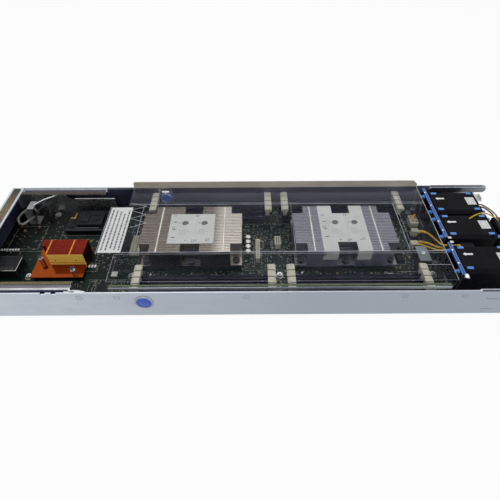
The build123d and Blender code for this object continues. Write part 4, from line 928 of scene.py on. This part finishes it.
def makeSmallParts(zones, parts, rules):
    draw = random.Random(rules["seed"])
    places = [p for zone in zones.values() for p in freePlaces(zone, draw, rules)]
    draw.shuffle(places)
    first = 0
    for name, s in parts.items():
        last = first + round(s["share"] * len(places))
        here, first = places[first:last], last
        x, y, tall = s["size"][0] / 2, s["size"][1] / 2, s["size"][2]
        inner = x - s["end"]
        if s["end"]:
            body = boxMesh(name, [((-inner, inner), (-y, y), (0.05, tall))])
            feet = [((e * inner, e * (x + 0.35)), (-y - 0.1, y + 0.1), (0.0, 0.07)) for e in (-1, 1)]
            caps = [((e * inner, e * x), (-y, y), (0.07, tall * 0.98)) for e in (-1, 1)]
            metal = boxMesh(name + "Ends", feet + caps)
        else:
            body = boxMesh(name, [((-x + 0.5, x - 0.5), (-y, y), (0.1, tall))], bevel=0.08)
            metal = boxMesh(name + "Legs", [((e * (x - 0.5), e * (x + 0.2)), (k - 0.2, k + 0.2), (0.0, 0.5))
                                            for e in (-1, 1) for k in (-0.8, 0.0, 0.8)])
        onPoints(name + "Bodies", body, here, s["body"], "chip_black", turns=1, seed=s["seed"])
        onPoints(name + "Metal", metal, here, "tinEnds", "steel", turns=1, seed=s["seed"])
    print("small board parts:", len(places))


makeSmallParts(boardZones, smallParts, spacing)

# round pads, tracks and thin printed outlines on the board
silkSet = {
    "width": 0.24,
    "frames": [((-178.5, -155), (-65, -43)), ((-169.8, -151.8), (-74.6, -66.6)), ((-158.6, -144.6), (-57.6, -44.4)),
               ((-196, -180), (-30, -17)), ((4.6, 13.4), (-20.4, 16.4)), ((15, 27), (2.6, 21)),
               ((27.8, 39.2), (2.4, 21)), ((172, 185), (-22.4, 43)), ((193.8, 213), (0, 34)),
               ((-300, -262), (7, 48)), ((-150.5, -130), (28, 44)),
               ((-162, -134), (-30, -12)), ((-240, -182), (8, 30)), ((-184, -176), (-80, -46))],
    "lines": [((-186, -131), (-43.4, -43.1)), ((-186, -140), (-76.9, -76.6)), ((-131.4, -131.1), (-60, -44)),
              ((-9.6, 51), (-29.9, -29.6)), ((171, 214), (-33.4, -33.1)), ((-300, -190), (2.8, 3.1)),
              ((-9.6, 51), (49.2, 49.5)), ((196, 214), (51.6, 51.9))],
}


def makeSilk(s):
    z, w = (boardTop - 0.02, boardTop + 0.03), s["width"]
    bars = list(s["lines"])
    for (x0, x1), (y0, y1) in s["frames"]:
        bars += [((x0, x1), (y, y + w)) for y in (y0, y1 - w)] + [((x, x + w), (y0, y1)) for x in (x0, x1 - w)]
    addPiece("boardPrint", [(x, y, z) for x, y in bars], "silkPrint", "white_plastic")


makeSilk(silkSet)


def padMesh(name, radius, hole, rise):
    inner = [(rise, hole), (0, hole)] if hole else [(rise, 0)]
    return turnedMesh(name, [(0, radius), (rise, radius)] + inner, 14)


goldPads = [(x, y, boardTop) for x, y in (
            (-186.2, -22.2), (-184, -19), (-191, -64), (-196, -70), (-203, -60), (-232, -60),
            (-238, -66), (-244, -56), (-142, -61), (-139, -70), (-146, -77), (-60, -37), (-10, -36.6), (20, -37.4),
            (76, -36.8), (139, -37), (160, -36.2), (14, 30), (43, 33), (45, -12), (-6, 34), (190, 44), (176, -27),
            (205, 45), (-281, 12), (-270, 20), (-292, -8), (-200, 20), (-214, 14), (-228, 22), (33, -60), (35, -50))]
onPoints("boardPads", padMesh("boardPad", 1.0, 0.45, 0.06), goldPads, "goldPads", sizes=(0.7, 1.3), seed=2)
screwPads = [(x, y, boardTop) for x in (-256.8, -138, 33.75, 211) for y in (-38, 70.2)]
onPoints("screwPads", padMesh("screwPad", 4.3, 3.2, 0.07), screwPads, "tinEnds", seed=2)
ductDots = [(x, y, boardTop) for x, y in ((-98.5, -37.4), (-39.5, -37.4), (81.5, -37.4), (140.5, -37.4), (-116, -36),
                                          (-131, -40), (60, -34.5), (46.5, -37.6))]
onPoints("ductDots", padMesh("ductDot", 1.1, 0.0, 1.0), ductDots, "whiteCap", slot="white_plastic", seed=2)
print("board is dressed")

# legs, pins and contacts
chipSet = {  # x range, y range, top of the body, legs to a side
    "largeChip": ((-173.75, -159.75), (-62.0, -48.0), 10.0, 16),
    "smallChip": ((-155.75, -147.75), (-55.0, -47.0), 9.0, 8),
    "middleChip": ((17.0, 25.0), (4.7, 18.7), 10.0, 12),
}


def makeChipLegs(chips):
    legs, marks = bmesh.new(), bmesh.new()
    foot, knee = (boardTop, boardTop + 0.12), (boardTop + 0.12, boardTop + 0.6)
    margin, half = 0.6, 0.16  # from a chip's corner to its legs, and half a leg's width
    for (x0, x1), (y0, y1), top, count in chips.values():
        for k in range(count):
            share = (k + 0.5) / count
            x, y = (low + margin + share * (high - low - 2 * margin) for low, high in ((x0, x1), (y0, y1)))
            for sign, edgeX, edgeY in ((-1, x0, y0), (1, x1, y1)):
                for inside, outside, z in ((0.5, 1.2, foot), (-0.02, 0.5, knee)):
                    reach = (sign * inside, sign * outside)
                    addBox(legs, [edgeX + v for v in reach], (y - half, y + half), z)
                    addBox(legs, (x - half, x + half), [edgeY + v for v in reach], z)
        addTurned(marks, (x0 + 1.6, y1 - 1.6, top), (0, 0, 1), [(0, 0.6), (0.04, 0.55), (0.04, 0)], 14)
    addPiece("chipLegs", legs, "tinEnds", "steel")
    addPiece("chipMarks", marks, "palePrint", "white_plastic")


makeChipLegs(chipSet)
plugTop = 16.0
# flat dark patches stand for holes, screw drives and slots: a painted shade in place of their recesses
makeFinish("darkHole", (8, 8, 10), (18, 18, 20), rough=(0.6, 0.8), scale=200)
pinGrids = {  # half width, heights about the plug's top, counts, steps, first place, finish, slot
    "headerHoles": (0.62, (-0.02, 0.02), (6, 2), (2.3, 2.1), (-166.55, -71.65), "darkHole", "black_plastic"),
    "headerPins": (0.26, (0.0, 0.5), (6, 2), (2.3, 2.1), (-166.55, -71.65), "goldPads", "copper"),
    "stripHoles": (0.55, (-0.02, 0.02), (2, 15), (2.0, 2.0), (8.0, -16.0), "darkHole", "black_plastic"),
    "stripPins": (0.22, (0.0, 0.35), (2, 15), (2.0, 2.0), (8.0, -16.0), "goldPads", "copper"),
    "boxHoles": (0.8, (-0.02, 0.02), (2, 5), (2.6, 2.4), (32.2, 6.9), "darkHole", "black_plastic"),
    "plugPins": (0.3, (0.0, 0.4), (2, 2), (2.6, 2.4), (206.2, 27.3), "tinEnds", "steel"),
}


def makePins(table):
    for name, (half, heights, counts, steps, first, finish, slot) in table.items():
        pin = boxMesh(name + "One", [((-half, half), (-half, half), heights)])
        onGrid(name, pin, counts, steps, (*first, plugTop), finish, slot)


makePins(pinGrids)

# the contacts stand inside both faces of every memory slot
contactSet = {"pitch": 2.0, "inset": 0.72, "thickness": 0.1, "half": 0.35, "z": (12.2, 14.7), "count": 62,
              "rowStep": 9.2}
slotRows = {"near": (-73.1, -63.9, -54.7, -45.5), "far": (54.7, 63.9, 73.1, 82.3)}
bankMiddles = {"rear": -50.5, "front": 118.0}


def makeContacts(s):
    half = s["pitch"] * (s["count"] - 1) / 2
    outer, tall = s["inset"] + s["thickness"], s["z"][1] - s["z"][0]
    for side, rows in slotRows.items():
        for end, middle in bankMiddles.items():
            contact = boxMesh("contact", [((-s["half"], s["half"]), (sign * s["inset"], sign * outer), (0, tall))
                                          for sign in (-1, 1)])
            onGrid(f"{end}{side.title()}Contacts", contact, (s["count"], len(rows)), (s["pitch"], s["rowStep"]),
                   (middle - half, rows[0], s["z"][0]), "goldPads", "copper")


makeContacts(contactSet)

# a small plain mark beside both ends of every slot
slotMarks = [(x, y + 2.1, 15.2) for x in (-114.5, 13.5, 54.0, 182.0) for rows in slotRows.values() for y in rows]
slotMark = boxMesh("slotMark", [((-1.1, 1.1), (-0.25, 0.25), (0, 0.04)), ((-0.3, 0.3), (-0.7, 0.7), (0, 0.04))])
onPoints("slotMarks", slotMark, slotMarks, "silkPrint", "white_plastic")
print("pins and contacts are in")

# interlocking strips and rules across the fins
makeFinish("stripShine", (186, 182, 176), (232, 228, 220), rough=(0.15, 0.28), metallic=0.9)
# the fin face has its gold colour, painted lighter than the metal as a painted reflection
makeFinish("goldFace", (255, 206, 78), (255, 226, 116), rough=(0.2, 0.3), scale=20, contrast=1.2)
makeFinish("goldLine", (190, 110, 34), (240, 168, 70), rough=(0.15, 0.3), metallic=0.9, scale=120)
interlockSet = {"rear": (-107.0, -31.0), "front": (73.0, 149.0), "half": 0.55, "tabHalf": 1.4, "pitch": 2.6}


def makeInterlocks(s):
    for end in ("rear", "front"):
        (x0, y0, z0), (x1, y1, z1) = nodeBox(end + "_cooler_fins")
        bm = bmesh.new()
        for x in s[end]:
            addBox(bm, (x - s["half"], x + s["half"]), (y0 + 0.2, y1 - 0.2), (z1, z1 + 0.12))
            for y in stepsFrom(y0 + 1.0, y1 - 1.0, s["pitch"]):
                addBox(bm, (x - s["tabHalf"], x + s["tabHalf"]), (y, y + 0.5), (z1 + 0.12, z1 + 0.2))
        addPiece(end + "Interlocks", bm, "stripShine", "aluminium_fin")


makeInterlocks(interlockSet)

chipsetSet = {"face": ((-233.9, -192.1), (13.1, 29.9)), "skin": 0.3, "dots": (-226.4, -202.6), "dotZ": 20.5,
              "rule": ((-233.2, -192.8), (16.4, 16.9)), "middle": (-208.2, -207.0), "edge": (-235.0, -233.8),
              "pitch": 1.8}


def makeChipsetFace(s):
    (x0, y0, z0), (x1, y1, z1) = nodeBox("chipset_cooler_fins")
    front = y0 - s["skin"]
    addPiece("chipsetFace", [(s["face"][0], (front, y0), s["face"][1])], "goldFace", "copper", bevel=0.12)
    dots = bmesh.new()
    for x in s["dots"]:
        addTurned(dots, (x, front, s["dotZ"]), (0, -1, 0), [(0, 0.9), (0.12, 0.8), (0.12, 0)], 14)
    addBox(dots, s["rule"][0], (front - 0.06, front), s["rule"][1])
    addPiece("chipsetFaceDots", dots, "copperPlate", "copper")
    bm = bmesh.new()
    for (a, b), start in ((s["middle"], y0), (s["edge"], y0 + 0.2)):
        addBox(bm, (a, b), (start, y1 - 0.3), (z1, z1 + 0.1))
        for y in stepsFrom(start + 0.7, y1 - 1.0, s["pitch"]):
            addBox(bm, (a - 0.5, b + 0.5), (y, y + 0.35), (z1 + 0.1, z1 + 0.16))
    addPiece("chipsetInterlocks", bm, "goldLine", "copper")


makeChipsetFace(chipsetSet)

springSet = {"places": ((-245.3, -19.5), (-202.4, -37.8)), "radius": 2.05, "wire": 0.36, "low": 13.0, "rise": 7.6,
             "turns": 5, "steps": 14, "sides": 6, "capZ": 22.6}


def makeSprings(s):
    # a compression spring round each upright pin, and the pin's cap
    coils, caps = bmesh.new(), bmesh.new()
    total = s["turns"] * s["steps"]
    for x, y in s["places"]:
        rings = []
        for k in range(total + 1):
            angle = 2 * math.pi * k / s["steps"]
            out = Vector((math.cos(angle), math.sin(angle), 0))
            height = s["low"] + s["wire"] + (s["rise"] - 2 * s["wire"]) * k / total
            middle = Vector((x, y, height)) + out * s["radius"]
            rings.append(ringAround(coils, middle, out, Vector((0, 0, 1)), s["wire"], s["sides"]))
        skinRings(coils, rings)
        addTurned(caps, (x, y, s["capZ"]), (0, 0, 1), [(0, 2.9), (0.7, 2.9), (1.1, 2.2), (1.1, 0)], 20)
    addPiece("chipsetSprings", coils, "brightSteel", "steel", smooth=True)
    addPiece("chipsetPinCaps", caps, "darkSteel", "steel", smooth=True)


makeSprings(springSet)


# six-lobed drives in the screw heads
def driveMesh(name, radius, rise=0.03):
    outline = []
    for k in range(24):
        r = radius * (1.0 if (k // 2) % 2 == 0 else 0.74)
        outline.append((r * math.cos(math.pi * k / 12), r * math.sin(math.pi * k / 12)))
    bm = bmesh.new()
    addSlab(bm, outline, (0, rise))
    return takeMesh(name, bm)


onPoints("boardScrewDrives", driveMesh("boardScrewDrive", 1.25), [(x, y, 9.7) for x, y, z in screwPads], "darkHole",
         "black_plastic")
coolerScrewTops = [(cx + dx, 10.5 + dy, 19.45) for cx in (-69.0, 111.0) for dx, dy in
                   ((-52.5, -32.5), (52.5, -32.5), (-52.5, 32.5), (52.5, 32.5), (0, -34.5), (0, 34.5))]
onPoints("coolerScrewDrives", driveMesh("coolerScrewDrive", 2.0), coolerScrewTops, "darkHole", "black_plastic")
print("coolers are trimmed")

# buttons: a plain cap with its rim and a bright ring at the inner end, a shallow finger dish at the outer end
buttonSet = {"x": -111.5, "z": 24.5, "inner": 83.9, "outer": 88.0, "ring": 86.25, "rim": 83.04, "sides": 36}


def makeButtonTrim(s):
    for side, sign in (("near", -1), ("far", 1)):
        body = side + "_release_button"
        cap, ring, rim = bmesh.new(), bmesh.new(), bmesh.new()
        for bm, y, facing, profile in (
                (cap, "inner", -sign, [(0, 8.0), (0.5, 8.0), (0.9, 7.5), (0.9, 0)]),
                (cap, "outer", sign, [(0.0, 6.2), (0.1, 6.0), (0.1, 0)]),
                (ring, "ring", -sign, [(0, 10.4), (0.4, 10.2), (0.4, 9.3), (0, 9.2)]),
                (rim, "rim", -sign, [(0, 7.9), (0.3, 7.7), (0.3, 6.2), (0.02, 6.0), (0, 6.0), (0, 7.9)])):
            addTurned(bm, (s["x"], sign * s[y], s["z"]), (0, facing, 0), profile, s["sides"])
        addPiece(side + "ButtonCap", cap, "bluePlastic", "blue_plastic", body, smooth=True)
        addPiece(side + "ButtonInnerRing", ring, "ringSteel", "chrome_ring", smooth=True)
        addPiece(side + "ButtonInnerRim", rim, "ringSteel", "chrome_ring", body, smooth=True)


makeButtonTrim(buttonSet)

# the leaf springs, bent over their foot
leafSet = {"x": (-116.0, -107.0), "y": 85.3, "thickness": 0.4, "start": 36.8, "end": 33.7, "bend": (33.8, 34.8),
           "slant": 0.2,
           "line": [(86.3, 38.8), (86.3, 37.6), (86.3, 37.0), (86.3, 36.4), (86.3, 35.8), (86.3, 35.2), (86.3, 34.8),
                    (85.9, 34.58), (85.5, 34.36), (85.1, 34.14), (84.7, 33.92), (84.3, 33.7), (84.3, 32.0),
                    (84.3, 28.0), (84.3, 24.0), (84.3, 20.5)]}


def makeLeafSprings(s):
    x0, x1 = s["x"]
    for side, sign in (("near", -1), ("far", 1)):
        bm = bmesh.new()
        rings = []
        for y, z in s["line"]:
            slant = s["slant"] if s["bend"][0] < z < s["bend"][1] else 0.0
            inner = (y - s["thickness"], z - slant)
            rings.append([addPoint(bm, x, sign * a, b) for x, (a, b) in
                          ((x0, (y, z)), (x1, (y, z)), (x1, inner), (x0, inner))])
        skinRings(bm, rings)
        name = side + "LeafSpring"
        mesh = takeMesh(name, bm)
        mesh.materials.append(finishes["plainSteel"])
        piece = addObject(name, mesh)
        start, end = (((x0 + x1) / 2 * mm, sign * s["y"] * mm, s[k] * mm) for k in ("start", "end"))
        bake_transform(piece)
        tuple(start)
        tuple(end)
        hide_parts(side + "_button_spring")


makeLeafSprings(leafSet)

# a dark woven screen with a backing plate, in the painted shade finish, stands behind the slots of the end wall
screenSet = {"x": (-309.5, -309.25), "y": (-82.0, 82.0), "z": (9.0, 38.0), "pitch": 2.0, "bar": 0.7,
             "back": (-308.98, -308.88)}


def makeScreen(s):
    bm = bmesh.new()
    thickness = s["x"][1] - s["x"][0]
    for y in stepsFrom(*s["y"], s["pitch"]):
        addBox(bm, s["x"], (y, y + s["bar"]), s["z"])
    for z in stepsFrom(*s["z"], s["pitch"]):
        addBox(bm, [x + thickness for x in s["x"]], s["y"], (z, z + s["bar"]))
    addBox(bm, s["back"], s["y"], s["z"])
    addPiece("endScreen", bm, "darkLining", "steel")


makeScreen(screenSet)
print("buttons and end wall are trimmed")


# cables of the rear bay
def addTube(bm, points, radius, sides=10, steps=6):
    # a round tube through the points, with eased corners and closed ends
    line = []
    spots = [Vector(p) for p in points]
    guard = [2 * spots[0] - spots[1]] + spots + [2 * spots[-1] - spots[-2]]
    for a, b, c, d in zip(guard, guard[1:], guard[2:], guard[3:]):
        for t in (k / steps for k in range(steps)):
            line.append(0.5 * ((2 * b) + (c - a) * t + (2 * a - 5 * b + 4 * c - d) * t * t
                               + (3 * b - a - 3 * c + d) * t ** 3))
    line.append(spots[-1])
    rings = []
    side = (line[1] - line[0]).orthogonal().normalized()
    for k, middle in enumerate(line):
        ahead = (line[min(k + 1, len(line) - 1)] - line[max(k - 1, 0)]).normalized()
        side = (side - ahead * side.dot(ahead)).normalized()
        rings.append(ringAround(bm, middle, side, ahead.cross(side), radius, sides))
    skinRings(bm, rings)


makeFinish("greyWire", (104, 102, 100), (158, 156, 152), rough=(0.4, 0.55), scale=200, bump=0.05)
bayCables = {
    "bayCableLeft": {"radius": 1.5, "finish": "greyWire",
                     "line": [(-282, 69.5, 12), (-285.6, 69.0, 21), (-293.2, 60.0, 22.4), (-298.6, 53.0, 19.5),
                              (-297.6, 46.6, 16.2), (-291.6, 44.6, 15), (-286.2, 51.0, 15.6), (-284.6, 60.0, 13),
                              (-282, 66, 9)]},
    "bayCableRight": {"radius": 1.3, "finish": "blackWire",
                      "line": [(-279, 52, 8.8), (-279, 57, 16), (-277, 66.6, 20.4), (-271.2, 71.6, 21),
                               (-264.4, 68.6, 20.4), (-261, 61.6, 18), (-262.4, 58, 12), (-263, 57, 8.6)]},
    "bayCableTop": {"radius": 0.9, "finish": "plainSteel",
                    "line": [(-276, 59, 34.4), (-266, 66.5, 36.4), (-257, 72.5, 36.6), (-250, 77.5, 36.4),
                             (-241, 79, 36.2)]},
}


def makeTubes(table, slot):
    for name, s in table.items():
        bm = bmesh.new()
        addTube(bm, s["line"], s["radius"])
        addPiece(name, bm, s["finish"], slot, smooth=True)


makeTubes(bayCables, "black_wire")

makeFinish("greyShell", (98, 106, 110), (134, 142, 146), rough=(0.4, 0.55))
makeFinish("rimGrey", (78, 76, 86), (116, 113, 124), rough=(0.35, 0.5), metallic=0.5, stretch=(0.3, 1, 1))
makeFinish("edgeBlue", (120, 170, 226), (168, 206, 244), rough=(0.3, 0.4))

# trim of the rear bay: cage edges with a painted highlight, spring fingers, card edge, light parts and the small gold
# tab
bayTrim = {
    "cageEdges": ("stripShine", "steel", [((-308.6, -266.6), (-39.6, -39.1), (20.2, 20.8)),
                                          ((-267.0, -266.5), (-39.6, -19.0), (20.2, 20.8))]),
    "cardEdge": ("agedSteel", "steel", [((-219, -191), (32.6, 33.3), (18.2, 18.9)),
                                         ((-235.3, -180), (32.7, 33.0), (15.2, 15.5))]),
    "cardTab": ("goldPads", "copper", [((-231.0, -224.5), (50.0, 52.2), (18.6, 19.3)),
                                       ((-226.6, -224.5), (52.2, 61.5), (18.6, 19.3))]),
    "cardParts": ("chipBlack", "chip_black", [((-219, -207), (44, 56), (18.6, 19.7)),
                                              ((-203, -196), (46, 52), (18.6, 19.4)),
                                              ((-203, -196), (56, 62), (18.6, 19.4)),
                                              ((-231, -226), (38, 42), (18.6, 19.4))]),
    "bayLightParts": ("whiteCap", "white_plastic", [((-306.5 + 3.4 * k, -304.5 + 3.4 * k), (3.4, 6.2), (8.0, 9.6))
                                                    for k in range(7)]),
    "whiteTrio": ("whiteCap", "white_plastic", [((-191.6 + 3.4 * k, -189.4 + 3.4 * k), (-24.6, -20.6), (8.0, 9.1))
                                                for k in range(3)]),
    "whiteSquare": ("whiteCap", "white_plastic", [((-161.5, -154.5), (-38.6, -31.6), (8.0, 9.2))]),
    "paleConnector": ("whitePlastic", "white_plastic", [((-146.5, -134.5), (-6.0, 25.0), (8.0, 12.6))]),
    "paleConnectorPins": ("darkHole", "black_plastic", [((-143.6 + 4.4 * c, -142.0 + 4.4 * c),
                                                         (-3.6 + 3.1 * r, -2.0 + 3.1 * r), (12.6, 12.64))
                                                        for c in range(2) for r in range(9)]),
    "cageFingers": ("darkSteel", "steel", [((-305.0 + 6.2 * k, -301.6 + 6.2 * k), (-38.2, -34.4), (20.5, 21.0))
                                           for k in range(6)]),
    "stripPads": ("whiteCap", "white_plastic", [((226.4, 230.2), (-12.6, -9.4), (41.2, 41.5)),
                                                ((226.4, 230.2), (-19.6, -16.4), (41.2, 41.5))]),
    "moduleTop": ("greyShell", "steel", [((196.4, 209.6), (-27.6, -4.4), (20.0, 20.6)),
                                         ((199.0, 201.0), (-25.0, -7.0), (20.6, 21.0))]),
    "cageTab": ("plainSteel", "steel", [((225.6, 232.6), (-67.0, -62.3), (35.4, 36.4)),
                                        ((225.6, 226.6), (-67.0, -62.3), (36.4, 40.6))]),
    "farRimShade": ("darkLining", "black_plastic", [((-294, -188), (79.4, 83.6), (39.02, 39.12))]),
    "nearRimShade": ("darkLining", "black_plastic", [((-295.5, -187.4), (-83.7, -83.5), (1.6, 38.9)),
                                                      ((-295.5, -187.4), (-83.6, -81.7), (39.0, 39.08))]),
    "nearRimBand": ("rimGrey", "steel", [((-295.5, -187.4), (-79.0, -75.0), (39.0, 39.1))]),
    "hookHole": ("darkHole", "black_plastic", [((-184.4, -181.6), (-85.4, -83.8), (39.0, 39.04))]),
    # a painted highlight along the bracket edge
    "bracketEdge": ("brightSteel", "steel", [((-230.6, -178.2), (78.2, 79.2), (29.0, 29.4))]),
    "bracketTop": ("rimGrey", "steel", [((-286.8, -246.0), (78.2, 79.2), (36.0, 36.2))]),
}


def makeBoxTrim(table):
    for name, (finish, slot, boxes) in table.items():
        addPiece(name, boxes, finish, slot, bevel=0.1)


makeBoxTrim(bayTrim)

# a dark painted shade, lighter towards the rails' right ends as a painted light
makeFinish("railShade", (54, 54, 62), (84, 84, 92), rough=(0.25, 0.4), metallic=0.6, stretch=(0.3, 1, 1),
           shades=(((1, 0, 0), 0.262, 0.305, (128, 130, 134)),))
railSet = {"x": (235.6, 309.2), "z": (31.6, 38.8), "inner": 83.9, "skin": 0.12, "steps": 10,
           "cap": ((236.6, 304.6), (86.2, 87.55), (39.4, 40.46))}


def makeRailShadeSkins(s):
    # a sheet of painted shade on the inner side of both rounded rails, and on their tops
    bm = bmesh.new()
    (x0, x1), (z0, z1) = s["x"], s["z"]
    radius, middle = (z1 - z0) / 2, (z0 + z1) / 2
    outline = []
    for x, first in ((x1 - radius, -90), (x0 + radius, 90)):
        for k in range(s["steps"] + 1):
            angle = math.radians(first + 180 * k / s["steps"])
            outline.append((x + radius * math.cos(angle), middle + radius * math.sin(angle)))
    for sign in (-1, 1):
        addSlab(bm, outline, (sign * (s["inner"] - s["skin"]), sign * s["inner"]), upright=True)
        addBox(bm, s["cap"][0], [sign * y for y in s["cap"][1]], s["cap"][2])
    addPiece("railSkins", bm, "railShade", "galvanised")


makeRailShadeSkins(railSet)

# a ring lug, the module's screw and the little screws on the cages
looseHeads = [(203.0, -16.0, 20.6), (171.0, -40.0, 8.8)]


def headMesh(name, radius, rise):
    profile = [(0, 1), (0.6, 1), (1, 0.72), (1, 0.3), (0.6, 0.26), (0.6, 0)]
    return turnedMesh(name, [(rise * a, radius * r) for a, r in profile], 22, smooth=True)


onPoints("moduleScrews", headMesh("moduleScrew", 2.7, 1.6), looseHeads, "plainSteel")
addPiece("ringLug", [((167.6, 174.4), (-43.4, -36.6), (8.0, 8.8)), ((164.0, 168.0), (-42.2, -37.8), (8.0, 9.0)),
                     ((158.5, 164.5), (-42.0, -38.0), (8.0, 11.2))], "plainSteel", "steel", bevel=0.25)
onPoints("cageTabScrew", headMesh("cageTabScrewHead", 3.0, 2.2), [(229.2, -64.9, 36.4)], "brightSteel")
stripRivets = [(224.9, y, 40.8) for y in (46.9, 17.5, -49.6, 72.0, 2.0, -30.0)]
onPoints("stripRivets", headMesh("stripRivet", 0.95, 0.5), stripRivets, "brightSteel")
# thin light lines along both edges of the blue strips, a painted highlight
edgeBlue = {"y": ((-65.0, -18.0), (-9.0, 80.8)), "x": ((223.9, 224.2), (227.0, 227.3)), "z": (40.8, 40.92)}
addPiece("stripEdges", [(x, y, edgeBlue["z"]) for x in edgeBlue["x"] for y in edgeBlue["y"]], "edgeBlue",
         "blue_plastic")
print("bay and board trim are on")

# what stands past the fans: a black connector block, a clip and a few wires
fanEndBlock = {"x": (295.0, 310.6), "y": (-5.0, 29.0), "z": (1.3, 37.0), "slots": 7, "step": 1.2, "inset": 0.8,
               "firstCell": 2.6, "ends": 4.0, "cellShare": 0.62, "topInset": 3.0, "cellSkin": 0.03, "cellTall": 10,
               "cellFoots": (5, 20), "pinInset": 7.2, "pinFrom": 0.8, "pinTo": 1.8, "pinRise": 0.5,
               "clip": [((285.1, 292.5), (56.0, 70.0), (38.6, 39.6)), ((285.1, 286.0), (56.0, 70.0), (34.0, 38.6)),
                        ((291.6, 292.5), (58.0, 68.0), (39.6, 42.0))]}


def makeFanEnd(s):
    (x0, x1), (y0, y1), (z0, z1) = s["x"], s["y"], s["z"]
    knee, inset, skin = z1 - s["step"], s["inset"], s["cellSkin"]
    addPiece("endBlock", [((x0, x1), (y0, y1), (z0, knee)),
                          ((x0 + inset, x1 - inset), (y0 + inset, y1 - inset), (knee, z1))],
             "blackPlastic", "black_plastic", bevel=0.3)
    pitch = (y1 - y0 - s["ends"]) / s["slots"]
    wide = s["cellShare"] * pitch
    starts = [y0 + s["firstCell"] + k * pitch for k in range(s["slots"])]
    cells = [((x0 + s["topInset"], x1 - s["topInset"]), (y, y + wide), (z1, z1 + skin)) for y in starts]
    cells += [((x1, x1 + skin), (y, y + wide), (z0 + foot, z0 + foot + s["cellTall"]))
              for y in starts for foot in s["cellFoots"]]
    addPiece("endBlockCells", cells, "darkHole", "black_plastic")
    pins = [((x0 + s["pinInset"], x1 - s["pinInset"]), (y + s["pinFrom"], y + s["pinTo"]), (z1, z1 + s["pinRise"]))
            for y in starts]
    addPiece("endBlockPins", pins, "goldPads", "copper")
    addPiece("fanClip", s["clip"], "plainSteel", "steel", bevel=0.15)


makeFanEnd(fanEndBlock)
endWires = {
    "middleWire": {"radius": 0.75, "finish": "yellowWire",
                   "line": [(262, 20, 41.95), (268, 24.2, 42.0), (275, 28, 42.1), (282, 30.2, 42.0),
                            (290, 29.4, 40.4), (298, 25, 37.6), (300, 22, 37.0)]},
    "farWireTan": {"radius": 0.9, "finish": "tanPart",
                   "line": [(283, 46, 42.1), (287.5, 46.4, 41.4), (292.5, 43.6, 39.8), (297, 38.5, 38.8),
                            (300, 32, 38.0), (301, 26.5, 37.0)]},
    "farWireGrey": {"radius": 0.8, "finish": "plainSteel",
                    "line": [(283, 43.8, 42.0), (287, 43.4, 41.2), (291, 40.6, 39.6), (294.4, 36, 38.6),
                             (296.6, 30.6, 38.0), (297.6, 26.5, 37.0)]},
    "farWireBlack": {"radius": 0.8, "finish": "blackWire",
                     "line": [(283, 41.2, 42.0), (287.5, 41.2, 41.2), (292.4, 37.4, 39.8), (295.4, 32, 38.8),
                              (296.8, 27, 37.2)]},
    "yellowExtraA": {"radius": 1.15, "finish": "yellowWire",
                     "line": [(203.6, 8.6, 14.6), (208, 8.0, 15.6), (214, 1.4, 19.4), (220.6, -10.8, 25.6),
                              (230, -13.2, 29.4), (243.2, -13.2, 31.0)]},
    "yellowExtraB": {"radius": 1.15, "finish": "yellowWire",
                     "line": [(210.6, 25.8, 14.4), (215, 24.0, 17.0), (218.6, 12.0, 22.0), (219.8, -2, 26.2),
                              (222.6, -11.0, 29.0), (232, -14.6, 31.0), (243.2, -15.2, 31.4)]},
    "yellowExtraC": {"radius": 1.15, "finish": "yellowWire",
                     "line": [(203.6, 4.2, 14.0), (208, 3.2, 15.0), (213.6, -3.6, 18.0), (220.4, -13.8, 23.6),
                              (230, -17.4, 27.6), (243.2, -17.6, 29.2)]},
    "yellowLoop": {"radius": 0.9, "finish": "yellowWire",
                   "line": [(208.2, 44.2, 16.2), (208.2, 44.6, 19.4), (209.2, 48.2, 21.4), (211.6, 51.4, 21.4),
                            (213.2, 52.6, 19.0), (213.4, 52.6, 16.2)]},
}
makeTubes(endWires, "yellow_wire")
addPiece("loopSocket", [((205.2, 215.6), (40.8, 56.0), (8.0, 16.0))], "whitePlastic", "white_plastic", bevel=0.3)
loopHoles = [((x, x + 2.2), (y, y + 2.2), (16.0, 16.03)) for x in (207.2, 212.4) for y in (43.2, 51.6)]
addPiece("loopSocketHoles", loopHoles, "darkHole", "black_plastic")
print("fan end is dressed")

# faint bright rules, a painted highlight along the creases of the clear sheet beside its label
creaseSet = {"corners": [(-149, 53), (-128, 47), (-147, 40), (-126, 31), (-145, 25), (-124, 17), (-141, 9)],
             "width": 0.5}


def makeCreases(s):
    bm = bmesh.new()
    for (ax, ay), (bx, by) in zip(s["corners"], s["corners"][1:]):
        dx, dy = Vector((-(by - ay), bx - ax)).normalized() * s["width"] / 2
        addSlab(bm, [(ax - dx, ay - dy), (bx - dx, by - dy), (bx + dx, by + dy), (ax + dx, ay + dy)], (41.4, 41.47))
    addPiece("shroudCreases", bm, "foldLine", "clear_plastic", "air_shroud")


makeCreases(creaseSet)
